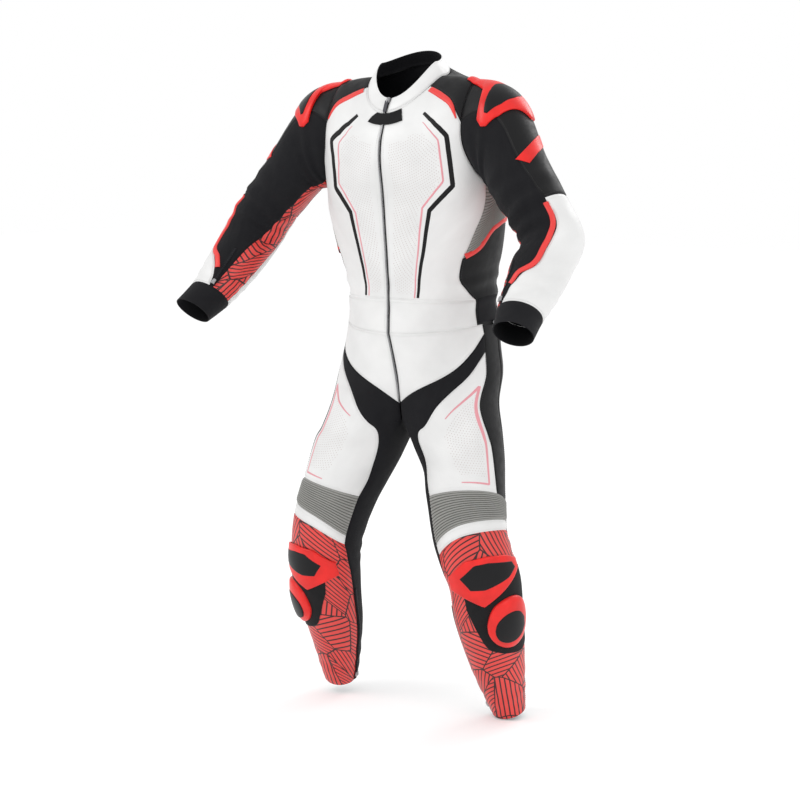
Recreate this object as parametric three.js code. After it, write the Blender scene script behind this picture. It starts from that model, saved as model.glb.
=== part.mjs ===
// A two-piece motorcycle race suit in leather and stretch cloth, filled out as it is on a rider
// who isn't there. Millimetres. +Z is up, the suit faces -Y and the wearer's left is +X.
// The origin is the middle of the neck base, between the shoulders, where the wearer holds it.
import * as THREE from 'three';

// Driving sizes
const LEATHER = 2.2;
const STRETCH = 2;
const COLLAR_WALL = 3;
const SEAM_GAP = 0.3;
const SLACK = 0.2;
const LAID_GAP = 0.5;
const ZIP_HALF = 2.6;
const RAD = Math.PI / 180;

// Rings of the jacket body from the neck seam down to the hem. front, side and back are heights,
// half is half the width, fore and aft are the depths before and behind the middle, and square
// is 2 for an ellipse and more for a boxier ring.
const TORSO = [
  { front: -52, side: 20, back: 48, half: 86, fore: 82, aft: 82, middle: -44, square: 2 },
  { front: -82, side: 17, back: 22, half: 128, fore: 91, aft: 88, middle: -44, square: 2.1 },
  { front: -108, side: 5, back: -15, half: 168, fore: 98, aft: 98, middle: -45, square: 2.3 },
  { front: -138, side: -40, back: -55, half: 188, fore: 102, aft: 106, middle: -44, square: 2.5 },
  { front: -168, side: -110, back: -115, half: 196, fore: 105, aft: 112, middle: -39, square: 2.5 },
  { front: -205, side: -188, back: -180, half: 199, fore: 108, aft: 117, middle: -30, square: 2.45 },
  { front: -243, side: -240, back: -240, half: 201, fore: 111, aft: 120, middle: -22, square: 2.4 },
  { front: -286, side: -285, back: -285, half: 194, fore: 115, aft: 120, middle: -14, square: 2.35 },
  { front: -330, side: -330, back: -330, half: 184, fore: 118, aft: 117, middle: -6, square: 2.3 },
  { front: -365, side: -365, back: -365, half: 172, fore: 121, aft: 114, middle: 0, square: 2.3 },
  { front: -402, side: -398, back: -400, half: 164, fore: 123, aft: 112, middle: 6, square: 2.3 },
  { front: -450, side: -438, back: -443, half: 161, fore: 126, aft: 111, middle: 10, square: 2.3 },
  { front: -500, side: -478, back: -487, half: 165, fore: 129, aft: 112, middle: 12, square: 2.3 },
];

// The stand collar leans in from the neck seam to its rim.
const COLLAR = [
  TORSO[0],
  { front: -38, side: 35, back: 61, half: 77, fore: 75, aft: 74, middle: -44, square: 2 },
  { front: -25, side: 48, back: 73, half: 67, fore: 65, aft: 65, middle: -44, square: 2 },
];

// The armhole is an oval on the jacket body, in degrees round it and in ring numbers down it.
const ARMHOLE = { turn: 91, level: 3.5, halfTurn: 33, halfLevel: 1.55 };

// Rings of the left sleeve: the outermost point, the point under it, the radius towards the
// front, and how far the front direction is lifted from level.
const SLEEVE = [
  { outX: 217, outY: -38, outZ: -4, underX: 206, underY: -44, underZ: -203, fore: 72, lift: 0 },
  { outX: 271, outY: -40, outZ: -42, underX: 217, underY: -54, underZ: -211, fore: 70, lift: 0 },
  { outX: 330, outY: -60, outZ: -135, underX: 228, underY: -68, underZ: -217, fore: 65, lift: 3 },
  { outX: 379, outY: -76, outZ: -201, underX: 284, underY: -82, underZ: -277, fore: 62, lift: 8 },
  { outX: 433, outY: -84, outZ: -281, underX: 314, underY: -96, underZ: -323, fore: 60, lift: 22 },
  { outX: 436, outY: -130, outZ: -347, underX: 318, underY: -140, underZ: -353, fore: 57, lift: 38 },
  { outX: 434, outY: -177, outZ: -393, underX: 330, underY: -187, underZ: -397, fore: 51, lift: 42 },
  { outX: 431, outY: -218, outZ: -429, underX: 341, underY: -228, underZ: -433, fore: 44, lift: 42 },
  { outX: 438, outY: -261, outZ: -461, underX: 358, underY: -271, underZ: -465, fore: 39, lift: 42 },
];

// Rings of the trousers round both hips. facing turns the ring towards the wearer's left.
const HIPS = [
  { ...TORSO[12], facing: 0 },
  { front: -545, side: -530, back: -535, half: 171, fore: 118, aft: 117, middle: 6, square: 2.3, facing: 4 },
  { front: -590, side: -585, back: -585, half: 178, fore: 110, aft: 120, middle: -3, square: 2.3, facing: 9 },
];

// Where the legs part, each ring is two rounds joined at the middle: apart is half the distance
// between their centres, and the corners are where they meet at the front and the back.
const FORK = [
  {
    z: -645, x: 5, y: -27, apart: 83, wide: 96, deep: 105, facing: 13,
    frontY: -84, frontZ: -643, backY: 96, backZ: -640, dip: 0,
  },
  {
    z: -702, x: 8, y: -45, apart: 100, wide: 93, deep: 97, facing: 16,
    frontY: -62, frontZ: -676, backY: 84, backZ: -670, dip: 22,
  },
];

// Rings of each leg: centre, radius sideways and radius front to back. The suit stands with its
// left leg straighter and forward of the right.
const LEGS = {
  left: [
    { x: 128, y: -30, z: -765, wide: 85, deep: 92, facing: 17 },
    { x: 153, y: -56, z: -830, wide: 80, deep: 85, facing: 17 },
    { x: 174, y: -72, z: -905, wide: 76, deep: 79, facing: 17 },
    { x: 190, y: -70, z: -955, wide: 74, deep: 76, facing: 17 },
    { x: 202, y: -60, z: -1000, wide: 73, deep: 75, facing: 17 },
    { x: 201, y: -42, z: -1075, wide: 70, deep: 70, facing: 17 },
    { x: 197, y: -12, z: -1150, wide: 62, deep: 64, facing: 17 },
    { x: 197, y: 12, z: -1215, wide: 51, deep: 53, facing: 17 },
    { x: 198, y: 31, z: -1265, wide: 41, deep: 43, facing: 17 },
    { x: 199, y: 41, z: -1295, wide: 35, deep: 37, facing: 17 },
  ],
  right: [
    { x: -112, y: -84, z: -765, wide: 89, deep: 92, facing: 17 },
    { x: -130, y: -105, z: -830, wide: 81, deep: 85, facing: 17 },
    { x: -150, y: -120, z: -905, wide: 77, deep: 79, facing: 17 },
    { x: -162, y: -118, z: -960, wide: 74, deep: 76, facing: 17 },
    { x: -168, y: -111, z: -1005, wide: 73, deep: 75, facing: 17 },
    { x: -174, y: -90, z: -1075, wide: 67, deep: 70, facing: 17 },
    { x: -181, y: -64, z: -1140, wide: 60, deep: 62, facing: 17 },
    { x: -190, y: -42, z: -1200, wide: 50, deep: 52, facing: 17 },
    { x: -198, y: -25, z: -1250, wide: 41, deep: 43, facing: 17 },
    { x: -204, y: -15, z: -1273, wide: 36, deep: 37, facing: 17 },
  ],
};

// The fork lies between these two angles round a leg, on its inner side.
const INNER_FROM = -130;
const INNER_TO = -50;
const OUTER_SPAN = 280;

// A smooth curve through four values, at a share of the way from the second to the third.
function smooth(a, b, c, d, share) {
  const s2 = share * share;
  const s3 = s2 * share;
  return 0.5 * (2 * b + (c - a) * share + (2 * a - 5 * b + 4 * c - d) * s2 + (3 * b - a - 3 * c + d) * s3);
}

// A row of a table of rings, at any level between two of them.
function ringAt(table, level) {
  const last = table.length - 1;
  const from = Math.min(Math.max(Math.floor(level), 0), last - 1);
  const share = level - from;
  const near = [from - 1, from, from + 1, from + 2].map((k) => table[Math.min(Math.max(k, 0), last)]);
  const row = {};
  for (const key of Object.keys(table[0])) {
    row[key] = smooth(near[0][key], near[1][key], near[2][key], near[3][key], share);
  }
  return row;
}

function spun(point, degrees) {
  return point.applyAxisAngle(new THREE.Vector3(0, 0, 1), degrees * RAD);
}

// A point on a ring of the body, turn degrees from the front towards the wearer's left.
function ovalPoint(ring, turn) {
  const across = Math.sin(turn * RAD);
  const along = Math.cos(turn * RAD);
  const power = 2 / ring.square;
  const depth = along > 0 ? ring.fore : ring.aft;
  const end = along > 0 ? ring.front : ring.back;
  return new THREE.Vector3(
    ring.half * Math.sign(across) * Math.abs(across) ** power,
    ring.middle - depth * Math.sign(along) * Math.abs(along) ** power,
    ring.side + (end - ring.side) * Math.abs(along) ** 1.5,
  );
}

// The turn at which a ring is this far to the left of the middle, in front.
function turnAt(ring, x) {
  return Math.asin((x / ring.half) ** (ring.square / 2)) / RAD;
}

function torso(turn, level) {
  return ovalPoint(ringAt(TORSO, level), turn);
}

function collar(turn, level) {
  return ovalPoint(ringAt(COLLAR, level), turn);
}

// A place on the armhole, degrees round it from the top, forwards and down. A size over 1 is
// outside it, on the jacket body.
function armholeSpot(degrees, size = 1) {
  return {
    turn: ARMHOLE.turn - ARMHOLE.halfTurn * size * Math.sin(degrees * RAD),
    level: ARMHOLE.level - ARMHOLE.halfLevel * size * Math.cos(degrees * RAD),
  };
}

function sleeveRing(row, turn) {
  const out = new THREE.Vector3(row.outX, row.outY, row.outZ);
  const under = new THREE.Vector3(row.underX, row.underY, row.underZ);
  const centre = out.clone().add(under).multiplyScalar(0.5);
  const arm = out.clone().sub(centre);
  const front = new THREE.Vector3(0, -Math.cos(row.lift * RAD), Math.sin(row.lift * RAD));
  front.addScaledVector(arm, -front.dot(arm) / arm.lengthSq()).normalize();
  return centre.addScaledVector(arm, Math.cos(turn * RAD)).addScaledVector(front, row.fore * Math.sin(turn * RAD));
}

// Points of a surface through rings of points, found ring by ring at the same turn.
function through(rings, turn, level) {
  const last = rings.length - 1;
  const from = Math.min(Math.max(Math.floor(level), 0), last - 1);
  const near = [from - 1, from, from + 1, from + 2].map((k) => rings[Math.min(Math.max(k, 0), last)](turn));
  const share = level - from;
  return new THREE.Vector3(
    smooth(near[0].x, near[1].x, near[2].x, near[3].x, share),
    smooth(near[0].y, near[1].y, near[2].y, near[3].y, share),
    smooth(near[0].z, near[1].z, near[2].z, near[3].z, share),
  );
}

const sleeveRings = [
  (turn) => torso(armholeSpot(turn).turn, armholeSpot(turn).level),
  ...SLEEVE.map((row) => (turn) => sleeveRing(row, turn)),
];

// The sleeve, and above its seam the shoulder of the body that it is sewn to.
function sleeve(turn, level) {
  if (level < 0) {
    const place = armholeSpot(turn, 1 - level);
    return torso(place.turn, place.level);
  }
  return through(sleeveRings, turn, level);
}

// A ring round both hips, read as the half that belongs to one leg.
function hipRing(row, side) {
  return (turn) => {
    if (turn < INNER_TO) {
      const share = (turn - INNER_FROM) / (INNER_TO - INNER_FROM);
      const seatEnd = ovalPoint(row, 180);
      return spun(seatEnd.lerp(ovalPoint(row, 0), share), row.facing);
    }
    const round = ((turn - INNER_TO) / OUTER_SPAN) * 180;
    const point = ovalPoint(row, round);
    point.x *= side;
    return spun(point, row.facing);
  };
}

// A ring where the legs part: a round for the leg, drawn in to the corners at the middle.
function forkRing(row, side) {
  const place = (point) => {
    point.x *= side;
    return spun(point, row.facing).add(new THREE.Vector3(row.x, row.y, 0));
  };
  const onRound = (turn) => new THREE.Vector3(
    row.apart + row.wide * Math.sin(turn * RAD),
    -row.deep * Math.cos(turn * RAD),
    row.z,
  );
  const frontCorner = new THREE.Vector3(0, row.frontY, row.frontZ);
  const backCorner = new THREE.Vector3(0, row.backY, row.backZ);
  return (turn) => {
    if (turn < INNER_TO) {
      const share = (turn - INNER_FROM) / (INNER_TO - INNER_FROM);
      const point = backCorner.clone().lerp(frontCorner, share);
      point.z -= row.dip * 4 * share * (1 - share);
      return place(point);
    }
    const off = (turn - INNER_TO - OUTER_SPAN / 2) / (OUTER_SPAN / 2);
    const corner = off < 0 ? frontCorner : backCorner;
    const end = onRound(off < 0 ? INNER_TO : INNER_TO + OUTER_SPAN);
    const point = onRound(turn).addScaledVector(corner.clone().sub(end), off ** 4);
    return place(point);
  };
}

// A round of the leg, square to the line through the centres above and below it.
function legRing(table, k, side) {
  const row = table[k];
  const centre = (r) => new THREE.Vector3(r.x, r.y, r.z);
  const above = table[Math.max(k - 1, 0)];
  const below = table[Math.min(k + 1, table.length - 1)];
  const down = centre(below).sub(centre(above)).normalize();
  const front = spun(new THREE.Vector3(0, -1, 0), row.facing);
  front.addScaledVector(down, -front.dot(down)).normalize();
  const out = down.clone().cross(front).multiplyScalar(-side);
  return (turn) => centre(row)
    .addScaledVector(out, row.wide * Math.sin(turn * RAD))
    .addScaledVector(front, row.deep * Math.cos(turn * RAD));
}

function legSurface(sideName) {
  const side = sideName === 'left' ? 1 : -1;
  const table = LEGS[sideName];
  const rings = [
    ...HIPS.map((row) => hipRing(row, side)),
    ...FORK.map((row) => forkRing(row, side)),
    ...table.map((row, k) => legRing(table, k, side)),
  ];
  const crotch = HIPS.length + FORK.length - 1;
  const nearMiddle = (turn) => Math.min(Math.abs((turn - INNER_TO) / (OUTER_SPAN / 2) - 1), 1) ** 6;
  const next = (turn) => rings[crotch + 1](turn).lerp(rings[crotch](turn), nearMiddle(turn));
  const upper = [...rings.slice(0, crotch + 1), next];
  return (turn, level) => through(level < crotch ? upper : rings, turn < INNER_FROM ? turn + 360 : turn, level);
}

function mirrored(surface) {
  return (turn, level) => {
    const point = surface(turn, level);
    point.x *= -1;
    return point;
  };
}

// Surfaces with the hand that says which way out is.
const BODY = { at: torso, hand: 1 };
const NECK = { at: collar, hand: -1 };
const ARM = { at: sleeve, hand: -1 };
const LEG = { L: { at: legSurface('left'), hand: 1 }, R: { at: legSurface('right'), hand: -1 } };

function onSide(surface, side) {
  return side === 'L' ? surface : { at: mirrored(surface.at), hand: -surface.hand };
}

const spot = (turn, level) => ({ turn, level });

// Places spread evenly from one to another.
function run(from, to, count) {
  return Array.from({ length: count + 1 }, (_, k) => ({
    turn: from.turn + ((to.turn - from.turn) * k) / count,
    level: from.level + ((to.level - from.level) * k) / count,
  }));
}

function join(...lines) {
  return lines.flatMap((line, k) => (k ? line.slice(1) : line));
}

// A smooth seam through a few places, cut into equal steps. A degree and a level are first
// brought to about their length in millimetres.
const DEGREE_LENGTH = 2;
const LEVEL_LENGTH = 50;

function curve(places, count) {
  const knots = places.map((p) => new THREE.Vector2(p.turn * DEGREE_LENGTH, p.level * LEVEL_LENGTH));
  const points = new THREE.SplineCurve(knots).getSpacedPoints(count);
  return points.map((p) => spot(p.x / DEGREE_LENGTH, p.y / LEVEL_LENGTH));
}

// Places round the armhole from one angle to another.
function armholeRun(from, to, count) {
  return run(spot(from, 0), spot(to, 0), count).map((p) => armholeSpot(p.turn));
}

// The edge beside a zip, a fixed way from the middle of a table's rings.
function besideZip(table, levels, toTurn = (round) => round) {
  const deepest = table.length - 1;
  return levels.map((level) => spot(toTurn(turnAt(ringAt(table, Math.min(level, deepest)), ZIP_HALF)), level));
}

const levelsOf = (from, to, count) => run(spot(0, from), spot(0, to), count).map((p) => p.level);

// Where the pieces of a sleeve part on the armhole, in degrees round it.
const SLEEVE_BACK = -155;
const YOKE_BACK = -55;
const CHEST_TOP = 70;
const UNDER_FRONT = 161.7;
const UNDER_BACK = 205;

// Seams of the jacket body. Every line is used by both of the panels that it joins.
const NECK_FRONT = 64;
const NECK_BACK = 135;
const sideTop = armholeSpot(UNDER_FRONT);
const waistPoint = spot(57, 8.4);
const hemCorner = spot(75, 10.75);
const seams = {
  neckFront: run(spot(turnAt(TORSO[0], ZIP_HALF), 0), spot(NECK_FRONT, 0), 6),
  neckSide: run(spot(NECK_FRONT, 0), spot(NECK_BACK, 0), 5),
  neckBack: run(spot(NECK_BACK, 0), spot(360 - NECK_BACK, 0), 10),
  yokeFront: curve([spot(NECK_FRONT, 0), spot(61.5, 1), spot(58, 2.2), armholeSpot(CHEST_TOP)], 3),
  yokeBack: curve([spot(NECK_BACK, 0), spot(127, 1.6), armholeSpot(YOKE_BACK)], 3),
  chestArmhole: armholeRun(CHEST_TOP, UNDER_FRONT, 4),
  yokeArmhole: armholeRun(CHEST_TOP, YOKE_BACK, 5),
  underArmhole: armholeRun(UNDER_FRONT, UNDER_BACK, 4),
  backArmhole: armholeRun(YOKE_BACK, SLEEVE_BACK, 4),
  stretchFront: curve([sideTop, spot(77, 5.7), spot(71, 6.5), spot(64, 7.35), waistPoint], 4),
  lowerFront: curve([waistPoint, spot(56.5, 9.1), spot(58, 9.8), spot(68, 10.4), hemCorner], 3),
  hemSide: run(hemCorner, spot(75, 12), 2),
  stretchFoot: curve([waistPoint, spot(72, 7.8), spot(84, 7.1), spot(97, 6.7), spot(112, 6.6)], 4),
  stretchRear: curve([armholeSpot(UNDER_BACK), spot(109, 5.7), spot(112, 6.6)], 4),
  lowerRear: run(spot(112, 6.6), spot(112, 12), 5),
  waistFront: run(spot(turnAt(TORSO[12], ZIP_HALF), 12), spot(75, 12), 6),
  waistSide: join(
    run(spot(75, 12), spot(81, 12), 1),
    run(spot(81, 12), spot(104, 12), 2),
    run(spot(104, 12), spot(112, 12), 1),
  ),
  waistBack: run(spot(112, 12), spot(180, 12), 5),
};
const chestLevels = [
  ...levelsOf(0, 2.8, 3),
  ...levelsOf(2.8, 4.95, 4).slice(1),
  ...levelsOf(4.95, 8.4, 4).slice(1),
  ...levelsOf(8.4, 10.6, 3).slice(1),
];
const hemLevels = levelsOf(10.6, 12, 2);
const collarLevels = levelsOf(0, 2, 3);
seams.chestZip = besideZip(TORSO, chestLevels);
seams.hemZip = besideZip(TORSO, hemLevels);
seams.collarZip = besideZip(COLLAR, collarLevels);
seams.hemTop = run(seams.chestZip.at(-1), hemCorner, 6);

const acrossBack = (place) => spot(360 - place.turn, place.level);
const overBack = (line) => [...line].reverse().map(acrossBack);

// Seams of the left sleeve, from the armhole down to the wrist.
const ELBOW = 4;
const WRIST = 8;
const underSpot = spot(UNDER_FRONT, 0);
const armSeams = {
  top: run(spot(SLEEVE_BACK, 0), spot(CHEST_TOP, 0), 9),
  frontTop: run(spot(CHEST_TOP, 0), underSpot, 4),
  underTop: run(underSpot, spot(UNDER_BACK, 0), 4),
  backUpper: run(spot(SLEEVE_BACK, 0), spot(SLEEVE_BACK, ELBOW), 8),
  backLower: run(spot(SLEEVE_BACK, ELBOW), spot(SLEEVE_BACK, WRIST), 8),
  elbow: run(spot(SLEEVE_BACK, ELBOW), spot(42, ELBOW + 0.15), 9),
  upperFront: curve([spot(CHEST_TOP, 0), spot(60, 1), spot(55, 2.65), spot(49, 3.5), spot(42, ELBOW + 0.15)], 8),
  lowerFront: curve([
    spot(42, ELBOW + 0.15), spot(47, 4.71), spot(60, 5.34), spot(66, 6.37), spot(91, 6.85),
    spot(111, 7.36), spot(124, WRIST),
  ], 8),
  under: curve([
    underSpot, spot(165, 2), spot(158, 4), spot(150, 5), spot(146, 6), spot(140, 7), spot(136, WRIST),
  ], 16),
  wristFront: run(spot(124, WRIST), spot(136, WRIST), 4),
  wristUnder: run(spot(136, WRIST), spot(UNDER_BACK, WRIST), 4),
  wristOuter: run(spot(SLEEVE_BACK, WRIST), spot(124, WRIST), 9),
};

// Seams of the trousers on the left leg. The right leg has the same ones on its own surface.
const legTurn = (round) => INNER_TO + (round * OUTER_SPAN) / 180;
const legWaist = (line) => line.map((place) => spot(legTurn(place.turn), 0));
const FLY_END = 2.95;
const flyLevels = levelsOf(0, FLY_END, 3);
const flyEdge = besideZip(HIPS, flyLevels, legTurn);
const stripTop = legWaist(seams.waistSide)[1];
const stripCorner = spot(stripTop.turn, 0.45);
const bandCorner = spot(71, 1.1);
const HEM = 14;
const legSeams = {
  waistFront: join(legWaist(seams.waistFront), legWaist(seams.waistSide).slice(0, 2)),
  waistStrip: legWaist(seams.waistSide).slice(1, 4),
  waistSeat: join(legWaist(seams.waistSide).slice(3, 5), legWaist(seams.waistBack)),
  frontSide: run(stripTop, stripCorner, 3),
  bandTop: curve([stripCorner, spot(32, 1.3), spot(-23, 2.3), flyEdge.at(-1)], 7),
  bandTip: run(flyEdge.at(-1), spot(INNER_TO, FLY_END), 1),
  crotchFront: run(spot(INNER_TO, FLY_END), spot(INNER_TO, 4), 2),
  crotch: run(spot(INNER_TO, 4), spot(INNER_FROM, 4), 3),
  seatMiddle: run(spot(230, 0), spot(230, 4), 17),
  seatInner: curve([
    spot(230, 4), spot(228, 5), spot(215, 6), spot(190, 7), spot(150, 8), spot(120.5, 8.7),
  ], 8),
  seatFoot: run(spot(116, 8.8), spot(120.5, 8.7), 1),
  calfRear: run(spot(116, 8.8), spot(108, HEM), 7),
  bandEnd: run(stripCorner, bandCorner, 5),
  bandFoot: curve([
    bandCorner, spot(45, 1.6), spot(18, 2.3), spot(2, 3.1), spot(-14, 3.7), spot(-31, 4.25),
    spot(-44, 4.85), spot(-50, 5.4), spot(-48, 6),
  ], 15),
  thighSide: curve([
    bandCorner, spot(63, 1.8), spot(58, 2.5), spot(60, 3.5), spot(64, 4.5), spot(69, 5.4), spot(73, 6.12),
  ], 14),
  kneeTopFront: run(spot(-48, 6), spot(73, 6.12), 6),
  kneeTopSide: run(spot(73, 6.12), spot(112, 6.2), 2),
  kneeInner: run(spot(-48, 6), spot(-50, 7.1), 2),
  kneeOuter: run(spot(112, 6.2), spot(112, 6.75), 2),
  kneeFoot: curve([spot(-50, 7.1), spot(-10, 6.84), spot(30, 6.75), spot(112, 6.75)], 8),
  bandInner: run(spot(-50, 7.1), spot(-51, 7.42), 1),
  bandOuter: run(spot(112, 6.75), spot(112, 7.05), 1),
  shinTop: curve([spot(-51, 7.42), spot(-10, 7.12), spot(30, 7.02), spot(112, 7.05)], 8),
  shinInner: curve([spot(-51, 7.42), spot(-60, 8), spot(-69, 9.2), spot(-74, 10.6), spot(-74, HEM)], 11),
  shinOuter: run(spot(112, 7.05), spot(116, 8.8), 4),
  hemFront: run(spot(-74, HEM), spot(108, HEM), 8),
  stripRear: join(
    run(spot(legTurn(104), 0), spot(107, 0.45), 3),
    run(spot(107, 0.45), spot(104, 1.1), 1),
    curve([spot(104, 1.1), spot(100, 2.4), spot(104, 4.5), spot(112, 6.2)], 14),
  ),
};
const aroundLeg = (line) => line.map((p) => spot(p.turn - 360, p.level));

// Planning a panel: a grid of places between its four edges, and its points on the surface.
const plans = [];
const edgeNormals = [];
const SAME_POINT = 0.05;

function gridPlace(edges, down, across) {
  const rows = edges.left.length - 1;
  const columns = edges.top.length - 1;
  const pick = (line, share, steps) => {
    const from = Math.min(Math.floor(share * steps + 1e-9), steps - 1);
    const rest = share * steps - from;
    return spot(
      line[from].turn + (line[from + 1].turn - line[from].turn) * rest,
      line[from].level + (line[from + 1].level - line[from].level) * rest,
    );
  };
  const top = pick(edges.top, across, columns);
  const bottom = pick(edges.bottom, across, columns);
  const left = pick(edges.left, down, rows);
  const right = pick(edges.right, down, rows);
  const corners = (line, key) => (1 - across) * line[0][key] + across * line[columns][key];
  const blend = (key) => (1 - down) * (top[key] - corners(edges.top, key))
    + down * (bottom[key] - corners(edges.bottom, key))
    + (1 - across) * left[key] + across * right[key];
  return spot(blend('turn'), blend('level'));
}

function pointGrid(surface, edges, rows, columns) {
  return Array.from({ length: rows + 1 }, (_, i) => Array.from({ length: columns + 1 }, (__, j) => {
    const place = gridPlace(edges, i / rows, j / columns);
    return surface.at(place.turn, place.level);
  }));
}

// Unit normals of a grid of points, out of the cloth.
function gridNormals(points, facing, closed = false) {
  const rows = points.length - 1;
  const columns = points[0].length - 1;
  return points.map((row, i) => row.map((point, j) => {
    const before = closed && j === 0 ? row[columns - 1] : row[Math.max(j - 1, 0)];
    const after = closed && j === columns ? row[1] : row[Math.min(j + 1, columns)];
    const across = after.clone().sub(before);
    const down = points[Math.min(i + 1, rows)][j].clone().sub(points[Math.max(i - 1, 0)][j]);
    return across.cross(down).multiplyScalar(facing).normalize();
  }));
}

// Whether the grid of places turns the same way as the surface's own directions.
function facingOf(surface, edges) {
  const { top, left } = edges;
  const middle = Math.floor((top.length - 1) / 2);
  const half = Math.floor((left.length - 1) / 2);
  const across = spot(edges.right[half].turn - left[half].turn, edges.right[half].level - left[half].level);
  const down = spot(edges.bottom[middle].turn - top[middle].turn, edges.bottom[middle].level - top[middle].level);
  const sense = across.turn * down.level - across.level * down.turn;
  return -surface.hand * Math.sign(sense);
}

function plan(name, surface, edges, finish, wall, options = {}) {
  const rows = edges.left.length - 1;
  const columns = edges.top.length - 1;
  const points = pointGrid(surface, edges, rows, columns);
  const facing = facingOf(surface, edges);
  const normals = gridNormals(points, facing, options.closed);
  points.forEach((row, i) => row.forEach((point, j) => {
    if (i === 0 || i === rows || j === 0 || j === columns) {
      const known = edgeNormals.find((entry) => entry.point.distanceTo(point) < SAME_POINT);
      if (known) {
        known.normal.add(normals[i][j]);
      } else {
        edgeNormals.push({ point: point.clone(), normal: normals[i][j].clone() });
      }
    }
  }));
  plans.push({ name, surface, edges, finish, wall, rows, columns, points, normals, facing, ...options });
}

function sharedNormal(point) {
  return edgeNormals.find((entry) => entry.point.distanceTo(point) < SAME_POINT).normal.clone().normalize();
}

const MITRE_LEAST = 0.4;

// The outer and inner point of a panel's edge, drawn in by half of the seam gap and mitred so
// that the walls of two panels meet face to face.
function sewnEdgePoint(piece, i, j) {
  const { points, normals, rows, columns, closed } = piece;
  const point = points[i][j];
  const shared = sharedNormal(point);
  const pulls = [];
  const draw = (inward, tangent) => {
    const away = tangent.clone().cross(shared).normalize();
    if (away.dot(inward) < 0) away.negate();
    pulls.push({ away, inward });
  };
  const along = (a, b) => b.clone().sub(a);
  const columnTangent = along(points[Math.max(i - 1, 0)][j], points[Math.min(i + 1, rows)][j]);
  const rowTangent = along(points[i][Math.max(j - 1, 0)], points[i][Math.min(j + 1, columns)]);
  if (!closed && j === 0) draw(along(point, points[i][1]).normalize(), columnTangent);
  if (!closed && j === columns) draw(along(point, points[i][columns - 1]).normalize(), columnTangent);
  if (i === 0) draw(along(point, points[1][j]).normalize(), rowTangent);
  if (i === rows) draw(along(point, points[rows - 1][j]).normalize(), rowTangent);
  const outer = point.clone();
  const half = SEAM_GAP / 2 + (piece.slack ?? 0);
  if (pulls.length === 1) {
    const [{ away, inward }] = pulls;
    outer.addScaledVector(inward, half / Math.max(away.dot(inward), MITRE_LEAST));
  } else {
    const [a, b] = pulls;
    const aa = a.away.dot(a.inward);
    const ab = a.away.dot(b.inward);
    const ba = b.away.dot(a.inward);
    const bb = b.away.dot(b.inward);
    const size = aa * bb - ab * ba;
    const stepA = Math.abs(size) > 0.2 ? (half * (bb - ab)) / size : half;
    const stepB = Math.abs(size) > 0.2 ? (half * (aa - ba)) / size : half;
    outer.addScaledVector(a.inward, stepA).addScaledVector(b.inward, stepB);
  }
  const lean = Math.max(shared.dot(normals[i][j]), MITRE_LEAST);
  return { outer, inner: outer.clone().addScaledVector(shared, -piece.wall / lean) };
}

// A closed wall from two grids of points. The outer grid may have more rows than the inner one.
function wallGeometry(outer, inner, facing, closed = false) {
  const positions = [];
  const index = [];
  const add = (grid) => grid.map((row) => row.map((point) => {
    positions.push(point.x, point.y, point.z);
    return positions.length / 3 - 1;
  }));
  const outerIds = add(outer);
  const innerIds = add(inner);
  if (closed) {
    outerIds.forEach((row) => { row[row.length - 1] = row[0]; });
    innerIds.forEach((row) => { row[row.length - 1] = row[0]; });
  }
  const face = (a, b, c) => (facing > 0 ? index.push(a, b, c) : index.push(a, c, b));
  const skin = (ids, grid, flip) => {
    for (let i = 0; i + 1 < ids.length; i += 1) {
      for (let j = 0; j + 1 < ids[0].length; j += 1) {
        const [a, b, c, d] = [ids[i][j], ids[i][j + 1], ids[i + 1][j + 1], ids[i + 1][j]];
        const shorter = grid[i][j].distanceTo(grid[i + 1][j + 1]) <= grid[i][j + 1].distanceTo(grid[i + 1][j]);
        const pair = shorter ? [[a, b, c], [a, c, d]] : [[a, b, d], [b, c, d]];
        pair.forEach(([p, q, r]) => (flip ? face(p, r, q) : face(p, q, r)));
      }
    }
  };
  skin(outerIds, outer, false);
  skin(innerIds, inner, true);
  const rim = (outerLine, innerLine, flip) => {
    const side = (p, q, r) => (flip ? face(p, r, q) : face(p, q, r));
    const steps = (outerLine.length - 1) / (innerLine.length - 1);
    for (let k = 0; k + 1 < innerLine.length; k += 1) {
      for (let s = 0; s < steps; s += 1) {
        side(outerLine[k * steps + s], innerLine[k], outerLine[k * steps + s + 1]);
      }
      side(outerLine[(k + 1) * steps], innerLine[k], innerLine[k + 1]);
    }
  };
  const columnOf = (ids, j) => ids.map((row) => row[j]);
  rim(outerIds[0], innerIds[0], false);
  rim(outerIds.at(-1), innerIds.at(-1), true);
  if (!closed) {
    const last = outer[0].length - 1;
    rim(columnOf(outerIds, 0), columnOf(innerIds, 0), true);
    rim(columnOf(outerIds, last), columnOf(innerIds, last), false);
  }
  const loose = new THREE.BufferGeometry();
  loose.setAttribute('position', new THREE.Float32BufferAttribute(positions, 3));
  loose.setIndex(index);
  return loose;
}

const suit = new THREE.Group();

function piece(name, geometry, finish) {
  geometry.computeVertexNormals();
  const mesh = new THREE.Mesh(geometry, new THREE.MeshStandardMaterial(finish));
  mesh.name = name;
  suit.add(mesh);
  return mesh;
}

// An edge that meets one straight step of its neighbour keeps to the chord.
function straighten(line) {
  const last = line.length - 1;
  for (let j = 1; j < last; j += 1) {
    line[j].outer.lerpVectors(line[0].outer, line[last].outer, j / last);
    line[j].inner.lerpVectors(line[0].inner, line[last].inner, j / last);
  }
}

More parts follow.
